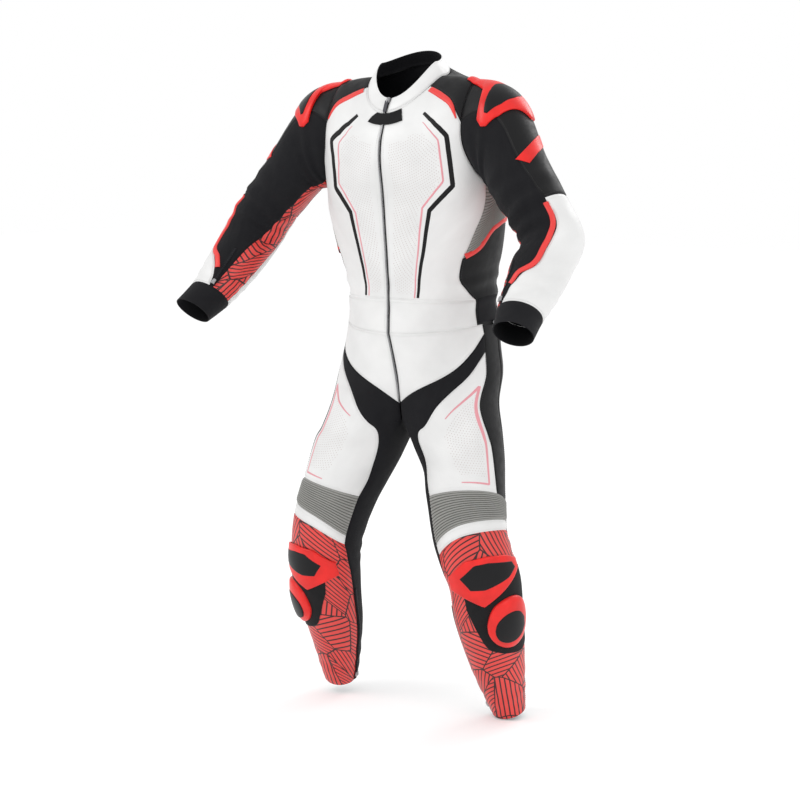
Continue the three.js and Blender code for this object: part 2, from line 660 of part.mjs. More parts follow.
// Sewing a planned panel: ribs are raised in its outer points over a plain inside.
function sew(part) {
  const { surface, edges, rows, columns, points, normals, facing, closed } = part;
  const fine = part.fine ?? 1;
  const rise = part.rise ?? (() => 0);
  const edge = points.map((row, i) => row.map((_, j) => {
    const border = i === 0 || i === rows || (!closed && (j === 0 || j === columns));
    return border ? sewnEdgePoint(part, i, j) : null;
  }));
  if (part.straightTop) straighten(edge[0]);
  if (part.straightBottom) straighten(edge[rows]);
  const inner = points.map((row, i) => row.map((point, j) => (
    edge[i][j] ? edge[i][j].inner : point.clone().addScaledVector(normals[i][j], -part.wall)
  )));
  const finePoints = pointGrid(surface, edges, rows * fine, columns);
  const fineNormals = gridNormals(finePoints, facing, closed);
  const outer = finePoints.map((row, f) => row.map((point, j) => {
    const above = Math.floor(f / fine);
    const share = f / fine - above;
    if (share === 0 && edge[above][j]) return edge[above][j].outer.clone();
    if (!closed && (j === 0 || j === columns)) {
      return edge[above][j].outer.clone().lerp(edge[above + 1][j].outer, share);
    }
    return point.addScaledVector(fineNormals[f][j], rise(f, rows * fine));
  }));
  piece(part.name, wallGeometry(outer, inner, facing, closed), part.finish);
}

// Finishes
const WHITE_LEATHER = { color: 0xf2f2f0, roughness: 0.5, metalness: 0 };
const BLACK_LEATHER = { color: 0x1d1d1f, roughness: 0.45, metalness: 0 };
const BLACK_STRETCH = { color: 0x202022, roughness: 0.9, metalness: 0 };
const GREY_STRETCH = { color: 0x8e8e86, roughness: 0.85, metalness: 0 };
const RED_LEATHER = { color: 0xe84a44, roughness: 0.5, metalness: 0 };
const RED_GUARD = { color: 0xe8302a, roughness: 0.35, metalness: 0 };
const ZIP_TAPE = { color: 0x151517, roughness: 0.6, metalness: 0 };
const ZIP_METAL = { color: 0x8a8c90, roughness: 0.35, metalness: 1 };

const RIB_RISE = 1.6;
const KNEE_RIB_RISE = 2.4;
const RIB_STEPS = 8;
const KNEE_RIB_STEPS = 13;
const FLAT_ROWS = 4;
const ribs = (height) => (f) => (f % 2 && f > FLAT_ROWS ? height : 0);

const CHAIN_RISE = 0.9;
const SLIDER_RISE = 4.2;

// Jacket body, one side at a time. A shared seam goes by the same name on both sides.
for (const side of ['L', 'R']) {
  const body = onSide(BODY, side);
  plan(`front_${side}`, body, {
    top: seams.neckFront,
    left: seams.chestZip,
    right: join(seams.yokeFront, seams.chestArmhole, seams.stretchFront, seams.lowerFront),
    bottom: seams.hemTop,
  }, WHITE_LEATHER, LEATHER);
  plan(`hem_band_${side}`, body, {
    top: seams.hemTop, left: seams.hemZip, right: seams.hemSide, bottom: seams.waistFront,
  }, WHITE_LEATHER, LEATHER);
  plan(`yoke_${side}`, body, {
    top: seams.neckSide, left: seams.yokeFront, right: seams.yokeBack, bottom: seams.yokeArmhole,
  }, BLACK_LEATHER, LEATHER);
  plan(`side_stretch_${side}`, body, {
    top: seams.underArmhole, left: seams.stretchFront, right: seams.stretchRear, bottom: seams.stretchFoot,
  }, GREY_STRETCH, STRETCH, { fine: RIB_STEPS, rise: ribs(RIB_RISE), slack: SLACK });
  plan(`lower_side_${side}`, body, {
    top: seams.stretchFoot,
    left: join(seams.lowerFront, seams.hemSide),
    right: seams.lowerRear,
    bottom: seams.waistSide,
  }, BLACK_LEATHER, LEATHER);
}

const backSide = join(seams.yokeBack, seams.backArmhole, seams.stretchRear, seams.lowerRear);
plan('back', BODY, {
  top: seams.neckBack,
  left: backSide,
  right: backSide.map(acrossBack),
  bottom: join(seams.waistBack, overBack(seams.waistBack)),
}, BLACK_LEATHER, LEATHER, { slack: SLACK / 2 });

const neckRound = join(
  seams.neckFront, seams.neckSide, seams.neckBack, overBack(seams.neckSide), overBack(seams.neckFront),
);
const collarRear = seams.collarZip.map(acrossBack);
plan('collar', NECK, {
  top: neckRound,
  left: seams.collarZip,
  right: collarRear,
  bottom: [seams.collarZip.at(-1), ...neckRound.slice(1, -1).map((p) => spot(p.turn, 2)), collarRear.at(-1)],
}, WHITE_LEATHER, COLLAR_WALL);

// The main zip runs from the collar's rim to the waist, with its slider at the top.
const CENTRE = {
  at: (turn, level) => (level < 0 ? collar(turn, -level) : torso(turn, level)),
  hand: 1,
};
const zipEdge = join(
  [...seams.collarZip].reverse().map((p) => spot(p.turn, -p.level)), seams.chestZip, seams.hemZip,
);
const otherEdge = (line) => line.map((p) => spot(-p.turn, p.level));
const ZIP_FINE = 4;
const SLIDER_ROW = 3;
plan('main_zip', CENTRE, {
  top: [spot(-zipEdge[0].turn, -2), spot(0, -2), spot(zipEdge[0].turn, -2)],
  left: otherEdge(zipEdge),
  right: zipEdge,
  bottom: [spot(-zipEdge.at(-1).turn, 12), spot(0, 12), spot(zipEdge.at(-1).turn, 12)],
}, ZIP_TAPE, LEATHER, {
  fine: ZIP_FINE,
  rise: (f) => (f === SLIDER_ROW || f === SLIDER_ROW + 1 ? SLIDER_RISE : CHAIN_RISE),
});

// Sleeves
for (const side of ['L', 'R']) {
  const arm = onSide(ARM, side);
  plan(`upper_sleeve_${side}`, arm, {
    top: armSeams.top, left: armSeams.backUpper, right: armSeams.upperFront, bottom: armSeams.elbow,
  }, BLACK_LEATHER, LEATHER);
  plan(`forearm_${side}`, arm, {
    top: armSeams.elbow, left: armSeams.backLower, right: armSeams.lowerFront, bottom: armSeams.wristOuter,
  }, WHITE_LEATHER, LEATHER);
  plan(`sleeve_stretch_${side}`, arm, {
    top: armSeams.frontTop,
    left: join(armSeams.upperFront, armSeams.lowerFront),
    right: armSeams.under,
    bottom: armSeams.wristFront,
  }, BLACK_STRETCH, STRETCH);
  plan(`under_sleeve_${side}`, arm, {
    top: armSeams.underTop,
    left: armSeams.under,
    right: join(armSeams.backUpper, armSeams.backLower).map((p) => spot(p.turn + 360, p.level)),
    bottom: armSeams.wristUnder,
  }, RED_LEATHER, LEATHER);
  const wrist = join(armSeams.wristOuter, armSeams.wristFront, armSeams.wristUnder);
  const cuffSide = run(wrist[0], spot(SLEEVE_BACK, 9), 2);
  plan(`cuff_${side}`, arm, {
    top: wrist,
    left: cuffSide,
    right: cuffSide.map((p) => spot(p.turn + 360, p.level)),
    bottom: wrist.map((p) => spot(p.turn, 9)),
  }, BLACK_STRETCH, STRETCH, { closed: true });
}

// Trousers
for (const side of ['L', 'R']) {
  const leg = LEG[side];
  plan(`trouser_front_${side}`, leg, {
    top: legSeams.waistFront, left: flyEdge, right: legSeams.frontSide, bottom: [...legSeams.bandTop].reverse(),
  }, WHITE_LEATHER, LEATHER);
  plan(`inner_stretch_${side}`, leg, {
    top: legSeams.bandEnd,
    left: join(
      legSeams.bandTop, legSeams.bandTip, legSeams.crotchFront, legSeams.crotch,
      aroundLeg(legSeams.seatInner), aroundLeg([...legSeams.seatFoot].reverse()), aroundLeg(legSeams.calfRear),
    ),
    right: join(legSeams.bandFoot, legSeams.kneeInner, legSeams.bandInner, legSeams.shinInner),
    bottom: run(spot(108 - 360, HEM), spot(-74, HEM), 5),
  }, BLACK_STRETCH, STRETCH, { straightTop: true });
  plan(`thigh_front_${side}`, leg, {
    top: run(legSeams.bandFoot[1], bandCorner, 6),
    left: legSeams.bandFoot.slice(1),
    right: legSeams.thighSide,
    bottom: legSeams.kneeTopFront,
  }, WHITE_LEATHER, LEATHER, { straightTop: true, slack: 1.5 * SLACK });
  plan(`outer_strip_${side}`, leg, {
    top: legSeams.waistStrip,
    left: join(legSeams.frontSide, run(stripCorner, bandCorner, 1), legSeams.thighSide),
    right: legSeams.stripRear,
    bottom: legSeams.kneeTopSide,
  }, BLACK_LEATHER, LEATHER);
  plan(`seat_${side}`, leg, {
    top: legSeams.waistSeat,
    left: join(legSeams.stripRear, legSeams.kneeOuter, legSeams.bandOuter, legSeams.shinOuter),
    right: join(legSeams.seatMiddle, legSeams.seatInner),
    bottom: run(legSeams.seatFoot[0], legSeams.seatFoot[1], 6),
  }, BLACK_LEATHER, LEATHER, { straightBottom: true });
  plan(`knee_accordion_${side}`, leg, {
    top: join(legSeams.kneeTopFront, legSeams.kneeTopSide),
    left: legSeams.kneeInner,
    right: legSeams.kneeOuter,
    bottom: legSeams.kneeFoot,
  }, GREY_STRETCH, STRETCH, { fine: KNEE_RIB_STEPS, rise: ribs(KNEE_RIB_RISE) });
  plan(`knee_band_${side}`, leg, {
    top: legSeams.kneeFoot, left: legSeams.bandInner, right: legSeams.bandOuter, bottom: legSeams.shinTop,
  }, WHITE_LEATHER, LEATHER);
  plan(`shin_${side}`, leg, {
    top: legSeams.shinTop,
    left: legSeams.shinInner,
    right: join(legSeams.shinOuter, legSeams.calfRear),
    bottom: legSeams.hemFront,
  }, RED_LEATHER, LEATHER);
}

// The fly zip, between the two trouser fronts.
const flyOther = flyEdge.map((p) => spot(2 * INNER_TO - p.turn, p.level));
const FLY = {
  at: (turn, level) => (turn >= INNER_TO ? LEG.L.at(turn, level) : LEG.R.at(2 * INNER_TO - turn, level)),
  hand: 1,
};
plan('fly_zip', FLY, {
  top: [flyOther[0], spot(INNER_TO, 0), flyEdge[0]],
  left: flyOther,
  right: flyEdge,
  bottom: [flyOther.at(-1), spot(INNER_TO, FLY_END), flyEdge.at(-1)],
}, ZIP_TAPE, LEATHER, { fine: ZIP_FINE, rise: () => CHAIN_RISE, slack: SLACK });

plans.forEach(sew);

// Pieces laid on the panels: the surface's points, moved out.
function outwards(surface, place) {
  const point = surface.at(place.turn, place.level);
  const around = surface.at(place.turn + 0.5, place.level).sub(point);
  const along = surface.at(place.turn, place.level + 0.01).sub(point);
  return around.cross(along).multiplyScalar(-surface.hand).normalize();
}

function lay(name, surface, [left, right], columns, finish, options) {
  const { lift, wall = LEATHER, rise = () => 0, hollow = false } = options;
  const rows = left.length - 1;
  const edges = {
    left, right, top: run(left[0], right[0], columns), bottom: run(left.at(-1), right.at(-1), columns),
  };
  const points = pointGrid(surface, edges, rows, columns);
  const facing = facingOf(surface, edges);
  const normals = gridNormals(points, facing);
  const raised = (height) => points.map((row, i) => row.map((point, j) => (
    point.clone().addScaledVector(normals[i][j], height(rise(i / rows, j / columns)))
  )));
  const top = raised((dome) => lift + wall + dome);
  const under = raised((dome) => lift + (hollow ? dome : 0));
  piece(name, wallGeometry(top, under, facing), finish);
}

// A strip of a given width along a line on a surface.
function layStrip(name, surface, line, width, finish, lift = LAID_GAP, wall = LEATHER / 2) {
  const centres = line.map((p) => surface.at(p.turn, p.level));
  const grid = (height) => line.map((place, k) => {
    const normal = outwards(surface, place);
    const tangent = centres[Math.min(k + 1, line.length - 1)].clone().sub(centres[Math.max(k - 1, 0)]).normalize();
    const across = tangent.cross(normal).normalize();
    return [-0.5, 0, 0.5].map((share) => centres[k].clone()
      .addScaledVector(across, share * width)
      .addScaledVector(normal, height));
  });
  piece(name, wallGeometry(grid(lift + wall), grid(lift), 1), finish);
}

const PIPE_WIDTH = 11;
const yokeLine = curve([spot(62, 0.3), spot(59, 1.1), spot(56, 2.2), spot(56.5, 2.7)], 8);
const sideLine = curve([spot(59, 8.25), spot(72, 7.8), spot(84, 7.1), spot(97, 6.7), spot(110, 6.6)], 12);
const forearmLine = curve([
  spot(46, 4.26), spot(53, 4.69), spot(66, 5.27), spot(72, 6.36), spot(99, 6.8), spot(115, 7.2),
], 14);

// The shoulder cup, from the neck side down over the top of the arm.
const CUP = [
  { level: -0.25, back: -10, front: 9 },
  { level: 0.3, back: -28, front: 18 },
  { level: 0.85, back: -45, front: 48 },
  { level: 1.2, back: -52, front: 70 },
  { level: 1.5, back: -50, front: 72 },
  { level: 1.85, back: -42, front: 50 },
  { level: 2.2, back: -30, front: 5 },
];
const CUP_DOME = 9;

// The knee pieces, as heights over and under a turn round the leg.
const BADGE = [
  { turn: -36, top: 8.45, foot: 8.6 },
  { turn: -24, top: 8.1, foot: 8.9 },
  { turn: 4, top: 7.85, foot: 9.18 },
  { turn: 22, top: 7.8, foot: 9.1 },
  { turn: 42, top: 7.8, foot: 8.98 },
  { turn: 68, top: 8.02, foot: 8.78 },
  { turn: 86, top: 8.35, foot: 8.5 },
];
const FIELD = [
  { turn: -17, top: 9.2, foot: 9.4 },
  { turn: -4, top: 9.32, foot: 9.95 },
  { turn: 8, top: 9.32, foot: 10.42 },
  { turn: 26, top: 9.22, foot: 10.62 },
  { turn: 48, top: 9.08, foot: 10.76 },
  { turn: 76, top: 8.86, foot: 10.9 },
  { turn: 100, top: 9.1, foot: 10.8 },
];
const SLIDER = [
  { turn: 13, top: 9.75, foot: 9.95 },
  { turn: 24, top: 9.42, foot: 10.28 },
  { turn: 40, top: 9.27, foot: 10.5 },
  { turn: 58, top: 9.25, foot: 10.52 },
  { turn: 76, top: 9.34, foot: 10.4 },
  { turn: 92, top: 9.6, foot: 10.15 },
];
const BADGE_WALL = 2.5;
const FIELD_WALL = 1.5;
const SLIDER_WALL = 4;
const SLIDER_DOME = 10;
const dome = (height) => (down, across) => (
  height * (4 * down * (1 - down)) ** 0.6 * (4 * across * (1 - across)) ** 0.6
);

// The two long edges of a laid piece, from a table of its width along one direction.
const edgesOf = (table, toSpot, count) => [0, 1].map((edge) => curve(table.map((r) => toSpot(r)[edge]), count));
const cupEdges = edgesOf(CUP, (r) => [spot(r.back, r.level), spot(r.front, r.level)], 10);
const kneeEdges = (table, count) => edgesOf(table, (r) => [spot(r.turn, r.top), spot(r.turn, r.foot)], count);
const barEdges = [
  run(spot(-50, 2.3), spot(45, 2.65), 8),
  run(spot(-50, 2.58), spot(25, 2.94), 8),
];
const GUARD_LIFT = 1.1;
const FIELD_LIFT = 0.9;

for (const side of ['L', 'R']) {
  const body = onSide(BODY, side);
  const arm = onSide(ARM, side);
  const leg = LEG[side];
  layStrip(`yoke_strip_${side}`, body, yokeLine, PIPE_WIDTH, RED_GUARD);
  layStrip(`side_strip_${side}`, body, sideLine, PIPE_WIDTH, RED_LEATHER, RIB_RISE + LAID_GAP);
  layStrip(`forearm_piping_${side}`, arm, forearmLine, PIPE_WIDTH, RED_LEATHER);
  lay(`sleeve_bar_${side}`, arm, barEdges, 2, RED_GUARD, { lift: GUARD_LIFT, wall: LEATHER / 2 });
  lay(`shoulder_cup_${side}`, arm, cupEdges, 8, RED_GUARD, {
    lift: GUARD_LIFT, wall: BADGE_WALL, rise: dome(CUP_DOME), hollow: true,
  });
  lay(`knee_badge_${side}`, leg, kneeEdges(BADGE, 12), 4, RED_GUARD, { lift: GUARD_LIFT, wall: BADGE_WALL });
  lay(`knee_field_${side}`, leg, kneeEdges(FIELD, 12), 5, BLACK_STRETCH, { lift: FIELD_LIFT, wall: FIELD_WALL });
  lay(`knee_slider_${side}`, leg, kneeEdges(SLIDER, 10), 4, RED_GUARD, {
    lift: FIELD_LIFT + FIELD_WALL + LAID_GAP, wall: SLIDER_WALL, rise: dome(SLIDER_DOME),
  });
}

// The tab across the throat, over the zip.
const TAB = [
  { level: 0.2, from: -11, to: 24 },
  { level: 0.55, from: -16, to: 22 },
  { level: 0.9, from: -17.5, to: 20.5 },
];
const tabEdges = [TAB.map((r) => spot(r.from, r.level)), TAB.map((r) => spot(r.to, r.level))];
lay('throat_tab', BODY, tabEdges, 6, BLACK_LEATHER, { lift: CHAIN_RISE + LAID_GAP });

// Small hard pieces: a flat outline with rounded ends, cut from plate, set on the cloth.
function tabOutline(width, length, eye) {
  const outline = new THREE.Shape();
  const half = width / 2;
  outline.absarc(0, half, half, Math.PI, 2 * Math.PI, false);
  outline.absarc(0, length - half, half, 0, Math.PI, false);
  if (eye > 0) {
    const hole = new THREE.Path();
    hole.absarc(0, half, eye, 0, 2 * Math.PI, true);
    hole.closePath();
    outline.holes.push(hole);
  }
  return outline;
}

// Sets a plate on the suit: its length runs along one direction and its thickness along another.
function setPlate(name, outline, thickness, foot, along, out, finish) {
  const geometry = new THREE.ExtrudeGeometry(outline, { depth: thickness, bevelEnabled: false, curveSegments: 8 });
  const lengthwise = along.clone().normalize();
  const upwards = out.clone().addScaledVector(lengthwise, -out.dot(lengthwise)).normalize();
  const across = lengthwise.clone().cross(upwards).normalize();
  const mesh = piece(name, geometry, finish);
  mesh.matrix.makeBasis(across, lengthwise, upwards).setPosition(foot);
  mesh.matrix.decompose(mesh.position, mesh.quaternion, mesh.scale);
}

// The main zip's pull hangs from its slider, down over the collar seam.
const PULL_THICK = 1.6;
const PULL_CLEAR = 0.4;
const SLIDER_LEVEL = 1.4;
const PULL_FOOT_LEVEL = 0.4;
const MAIN_PULL = { width: 8, length: 27, eye: 1.6 };
const sliderNormal = outwards(NECK, spot(0, SLIDER_LEVEL));
const pullTop = NECK.at(0, SLIDER_LEVEL).addScaledVector(sliderNormal, SLIDER_RISE + PULL_CLEAR);
const pullFoot = BODY.at(0, PULL_FOOT_LEVEL)
  .addScaledVector(outwards(BODY, spot(0, PULL_FOOT_LEVEL)), CHAIN_RISE + 1.4);
setPlate(
  'main_zip_pull', tabOutline(MAIN_PULL.width, MAIN_PULL.length, MAIN_PULL.eye), PULL_THICK,
  pullTop, pullFoot.clone().sub(pullTop), sliderNormal, ZIP_METAL,
);

// The waist zip's slider sits over the waist seam on the wearer's left, with its pull forwards.
const WAIST_TURN = 94;
const WAIST_SLIDER = { width: 9, length: 14, thick: 4 };
const WAIST_PULL = { width: 7, length: 16, eye: 1.5 };
const waistAt = BODY.at(WAIST_TURN, 12);
const waistOut = outwards(BODY, spot(WAIST_TURN, 11.98));
const waistAlong = BODY.at(WAIST_TURN + 1, 12).sub(BODY.at(WAIST_TURN - 1, 12)).normalize();
const sliderSeat = waistAt.clone().addScaledVector(waistOut, LAID_GAP);
setPlate(
  'waist_zip_slider', tabOutline(WAIST_SLIDER.width, WAIST_SLIDER.length, 0), WAIST_SLIDER.thick,
  sliderSeat, waistAlong, waistOut, ZIP_METAL,
);
const WAIST_PULL_START = 5;
setPlate(
  'waist_zip_pull', tabOutline(WAIST_PULL.width, WAIST_PULL.length, WAIST_PULL.eye), PULL_THICK,
  sliderSeat.clone()
    .addScaledVector(waistOut, WAIST_SLIDER.thick + PULL_CLEAR)
    .addScaledVector(waistAlong, WAIST_PULL_START),
  waistAlong.clone().negate(), waistOut, ZIP_METAL,
);

export default suit;
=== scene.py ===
# %% [markdown]
# # A two-piece motorcycle race suit
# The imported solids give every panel's place. This lesson sews the same panels again, finer,
# with grooved seams, soft folds, topstitching, zip teeth, ribs and leather grain.
# %% Load the frame
import math

import bpy
import numpy as np
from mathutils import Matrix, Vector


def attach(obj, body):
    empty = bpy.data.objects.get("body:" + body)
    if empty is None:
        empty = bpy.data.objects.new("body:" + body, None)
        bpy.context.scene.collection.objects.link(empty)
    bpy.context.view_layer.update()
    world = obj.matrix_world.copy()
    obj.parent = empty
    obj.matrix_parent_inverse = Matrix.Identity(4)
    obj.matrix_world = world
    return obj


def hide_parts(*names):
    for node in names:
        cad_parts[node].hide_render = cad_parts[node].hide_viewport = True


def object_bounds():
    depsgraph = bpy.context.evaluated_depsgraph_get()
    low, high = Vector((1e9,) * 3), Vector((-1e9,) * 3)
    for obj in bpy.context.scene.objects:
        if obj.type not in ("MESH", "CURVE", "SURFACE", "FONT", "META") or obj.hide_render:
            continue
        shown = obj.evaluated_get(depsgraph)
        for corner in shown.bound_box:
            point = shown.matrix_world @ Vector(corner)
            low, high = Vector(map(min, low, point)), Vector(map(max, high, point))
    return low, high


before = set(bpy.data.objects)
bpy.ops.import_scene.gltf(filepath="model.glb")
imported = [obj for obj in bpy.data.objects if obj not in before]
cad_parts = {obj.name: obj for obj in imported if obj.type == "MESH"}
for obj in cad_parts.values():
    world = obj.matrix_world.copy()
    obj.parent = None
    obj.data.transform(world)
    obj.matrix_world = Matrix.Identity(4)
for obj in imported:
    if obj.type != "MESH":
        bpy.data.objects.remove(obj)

solid_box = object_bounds()
scene = bpy.context.scene
print("solid nodes:", len(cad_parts))

# %% [markdown]
# The suit is drawn on smooth surfaces: rings for the jacket body, the sleeve and the legs, with
# a smooth curve through the rings. They are the solid model's own rings, in millimetres, so a
# panel lands where its solid is. A turn goes round a ring and a level goes down the rings.
# %% The rings
MM = 0.001
LEATHER = 2.0
STRETCH = 1.6
ZIP_HALF = 2.6


def table(columns, *rows):
    """Rows of numbers under named columns."""
    return {name: np.array(values, float) for name, values in zip(columns.split(), zip(*rows))}


TORSO = table(
    "front side back half fore aft middle square",
    (-52, 20, 48, 86, 82, 82, -44, 2),
    (-82, 17, 22, 128, 91, 88, -44, 2.1),
    (-108, 5, -15, 168, 98, 98, -45, 2.3),
    (-138, -40, -55, 188, 102, 106, -44, 2.5),
    (-168, -110, -115, 196, 105, 112, -39, 2.5),
    (-205, -188, -180, 199, 108, 117, -30, 2.45),
    (-243, -240, -240, 201, 111, 120, -22, 2.4),
    (-286, -285, -285, 194, 115, 120, -14, 2.35),
    (-330, -330, -330, 184, 118, 117, -6, 2.3),
    (-365, -365, -365, 172, 121, 114, 0, 2.3),
    (-402, -398, -400, 164, 123, 112, 6, 2.3),
    (-450, -438, -443, 161, 126, 111, 10, 2.3),
    (-500, -478, -487, 165, 129, 112, 12, 2.3),
)
COLLAR = table(
    "front side back half fore aft middle square",
    (-52, 20, 48, 86, 82, 82, -44, 2),
    (-38, 35, 61, 77, 75, 74, -44, 2),
    (-25, 48, 73, 67, 65, 65, -44, 2),
)
HIPS = table(
    "front side back half fore aft middle square facing",
    (-500, -478, -487, 165, 129, 112, 12, 2.3, 0),
    (-545, -530, -535, 171, 118, 117, 6, 2.3, 4),
    (-590, -585, -585, 178, 110, 120, -3, 2.3, 9),
)
SLEEVE = table(
    "out_x out_y out_z under_x under_y under_z fore lift",
    (217, -38, -4, 206, -44, -203, 72, 0),
    (271, -40, -42, 217, -54, -211, 70, 0),
    (330, -60, -135, 228, -68, -217, 65, 3),
    (379, -76, -201, 284, -82, -277, 62, 8),
    (433, -84, -281, 314, -96, -323, 60, 22),
    (436, -130, -347, 318, -140, -353, 57, 38),
    (434, -177, -393, 330, -187, -397, 51, 42),
    (431, -218, -429, 341, -228, -433, 44, 42),
    (438, -261, -461, 358, -271, -465, 39, 42),
)
FORK = table(
    "z x y apart wide deep facing front_y front_z back_y back_z dip",
    (-645, 5, -27, 83, 96, 105, 13, -84, -643, 96, -640, 0),
    (-702, 8, -45, 100, 93, 97, 16, -62, -676, 84, -670, 22),
)
LEGS = {
    "L": table(
        "x y z wide deep",
        (128, -30, -765, 85, 92),
        (153, -56, -830, 80, 85),
        (174, -72, -905, 76, 79),
        (190, -70, -955, 74, 76),
        (202, -60, -1000, 73, 75),
        (201, -42, -1075, 70, 70),
        (197, -12, -1150, 62, 64),
        (197, 12, -1215, 51, 53),
        (198, 31, -1265, 41, 43),
        (199, 41, -1295, 35, 37),
    ),
    "R": table(
        "x y z wide deep",
        (-112, -84, -765, 89, 92),
        (-130, -105, -830, 81, 85),
        (-150, -120, -905, 77, 79),
        (-162, -118, -960, 74, 76),
        (-168, -111, -1005, 73, 75),
        (-174, -90, -1075, 67, 70),
        (-181, -64, -1140, 60, 62),
        (-190, -42, -1200, 50, 52),
        (-198, -25, -1250, 41, 43),
        (-204, -15, -1273, 36, 37),
    ),
}
LEG_FACING = 17
INNER_TO = -50
INNER_FROM = -130
OUTER_SPAN = 280


# %% [markdown]
# A smooth curve through four values is the one piece of arithmetic that all surfaces share. It
# is worked for thousands of places at once, so every function here takes whole arrays.
# %% Smooth surfaces through rings
def sine(degrees):
    return np.sin(np.radians(degrees))


def cosine(degrees):
    return np.cos(np.radians(degrees))


def smooth(a, b, c, d, share):
    return 0.5 * (
        2 * b
        + (c - a) * share
        + (2 * a - 5 * b + 4 * c - d) * share**2
        + (3 * b - a - 3 * c + d) * share**3
    )


def neighbours(level, count):
    start = np.clip(np.floor(level).astype(int), 0, count - 2)
    return [np.clip(start + k, 0, count - 1) for k in (-1, 0, 1, 2)], level - start


def ring_at(rings, level):
    level = np.asarray(level, float)
    picks, share = neighbours(level, len(next(iter(rings.values()))))
    return {key: smooth(*(column[p] for p in picks), share) for key, column in rings.items()}


def row_of(rings, k):
    return {key: column[k] for key, column in rings.items()}


def xyz(x, y, z):
    return np.stack(np.broadcast_arrays(x, y, z), axis=-1).astype(float)


def spun(points, degrees):
    c, s = cosine(degrees), sine(degrees)
    x, y, z = points[..., 0], points[..., 1], points[..., 2]
    return xyz(c * x - s * y, s * x + c * y, z)


def oval_point(ring, turn):
    across, along = sine(turn), cosine(turn)
    power = 2 / ring["square"]
    depth = np.where(along > 0, ring["fore"], ring["aft"])
    end = np.where(along > 0, ring["front"], ring["back"])
    return xyz(
        ring["half"] * np.sign(across) * np.abs(across) ** power,
        ring["middle"] - depth * np.sign(along) * np.abs(along) ** power,
        ring["side"] + (end - ring["side"]) * np.abs(along) ** 1.5,
    )


def turn_at(ring, x):
    return np.degrees(np.arcsin((x / ring["half"]) ** (ring["square"] / 2)))


def torso(turn, level):
    return oval_point(ring_at(TORSO, level), turn)


def collar(turn, level):
    return oval_point(ring_at(COLLAR, level), turn)


def through(rings, turn, level):
    """Points on the surface through some rings, each a function of the turn."""
    picks, share = neighbours(level, len(rings))
    stack = np.array([ring(turn) for ring in rings])
    each = np.arange(len(turn))
    return smooth(*(stack[p, each] for p in picks), share[:, None])


# %% [markdown]
# The sleeve grows out of an oval armhole on the body. Each ring is given by its outermost and
# innermost point, and above the armhole the surface carries on over the shoulder.
# %% Sleeve surface
ARMHOLE_TURN, ARMHOLE_LEVEL = 91, 3.5
ARMHOLE_HALF_TURN, ARMHOLE_HALF_LEVEL = 33, 1.55


def armhole_spot(degrees, size=1):
    across, up = sine(degrees), cosine(degrees)
    turn = ARMHOLE_TURN - ARMHOLE_HALF_TURN * size * across
    return turn, ARMHOLE_LEVEL - ARMHOLE_HALF_LEVEL * size * up


def sleeve_ring(k):
    row = row_of(SLEEVE, k)
    out = np.array([row["out_x"], row["out_y"], row["out_z"]])
    under = np.array([row["under_x"], row["under_y"], row["under_z"]])
    centre, arm = (out + under) / 2, (out - under) / 2
    lift = math.radians(row["lift"])
    front = np.array([0, -math.cos(lift), math.sin(lift)])
    front = front - arm * front.dot(arm) / arm.dot(arm)
    front = front / np.linalg.norm(front) * row["fore"]

    def at(turn):
        angle = np.radians(turn)[:, None]
        return centre + arm * np.cos(angle) + front * np.sin(angle)

    return at


sleeve_rings = [lambda turn: torso(*armhole_spot(turn))]
sleeve_rings += [sleeve_ring(k) for k in range(len(SLEEVE["fore"]))]


def sleeve(turn, level):
    on_arm = through(sleeve_rings, turn, np.maximum(level, 0))
    on_shoulder = torso(*armhole_spot(turn, 1 - np.minimum(level, 0)))
    return np.where((level < 0)[:, None], on_shoulder, on_arm)


# %% [markdown]
# The trousers start as one ring round both hips, read as a half for each leg. At the crotch the
# ring becomes two rounds joined at the middle, and from there each leg has rounds of its own.
# %% Leg surfaces
def hip_ring(k, side):
    row = row_of(HIPS, k)

    def at(turn):
        share = ((turn - INNER_FROM) / (INNER_TO - INNER_FROM))[:, None]
        seat, fly = oval_point(row, np.array([180.0])), oval_point(row, np.array([0.0]))
        middle = seat + (fly - seat) * share
        round_it = oval_point(row, (turn - INNER_TO) / OUTER_SPAN * 180) * (side, 1, 1)
        return spun(np.where((turn < INNER_TO)[:, None], middle, round_it), row["facing"])

    return at


def fork_ring(k, side):
    row = row_of(FORK, k)
    front = np.array([0, row["front_y"], row["front_z"]])
    back = np.array([0, row["back_y"], row["back_z"]])

    def on_round(turn):
        x = row["apart"] + row["wide"] * sine(turn)
        return xyz(x, -row["deep"] * cosine(turn), row["z"])

    def at(turn):
        share = ((turn - INNER_FROM) / (INNER_TO - INNER_FROM))[:, None]
        middle = back + (front - back) * share - (0, 0, 4 * row["dip"]) * share * (1 - share)
        off = (turn - INNER_TO - OUTER_SPAN / 2) / (OUTER_SPAN / 2)
        ends = on_round(np.array([INNER_TO, INNER_TO + OUTER_SPAN]))
        pull = np.where((off < 0)[:, None], front - ends[0], back - ends[1])
        leg_round = on_round(turn) + pull * (off**4)[:, None]
        points = np.where((turn < INNER_TO)[:, None], middle, leg_round) * (side, 1, 1)
        return spun(points, row["facing"]) + (row["x"], row["y"], 0)

    return at


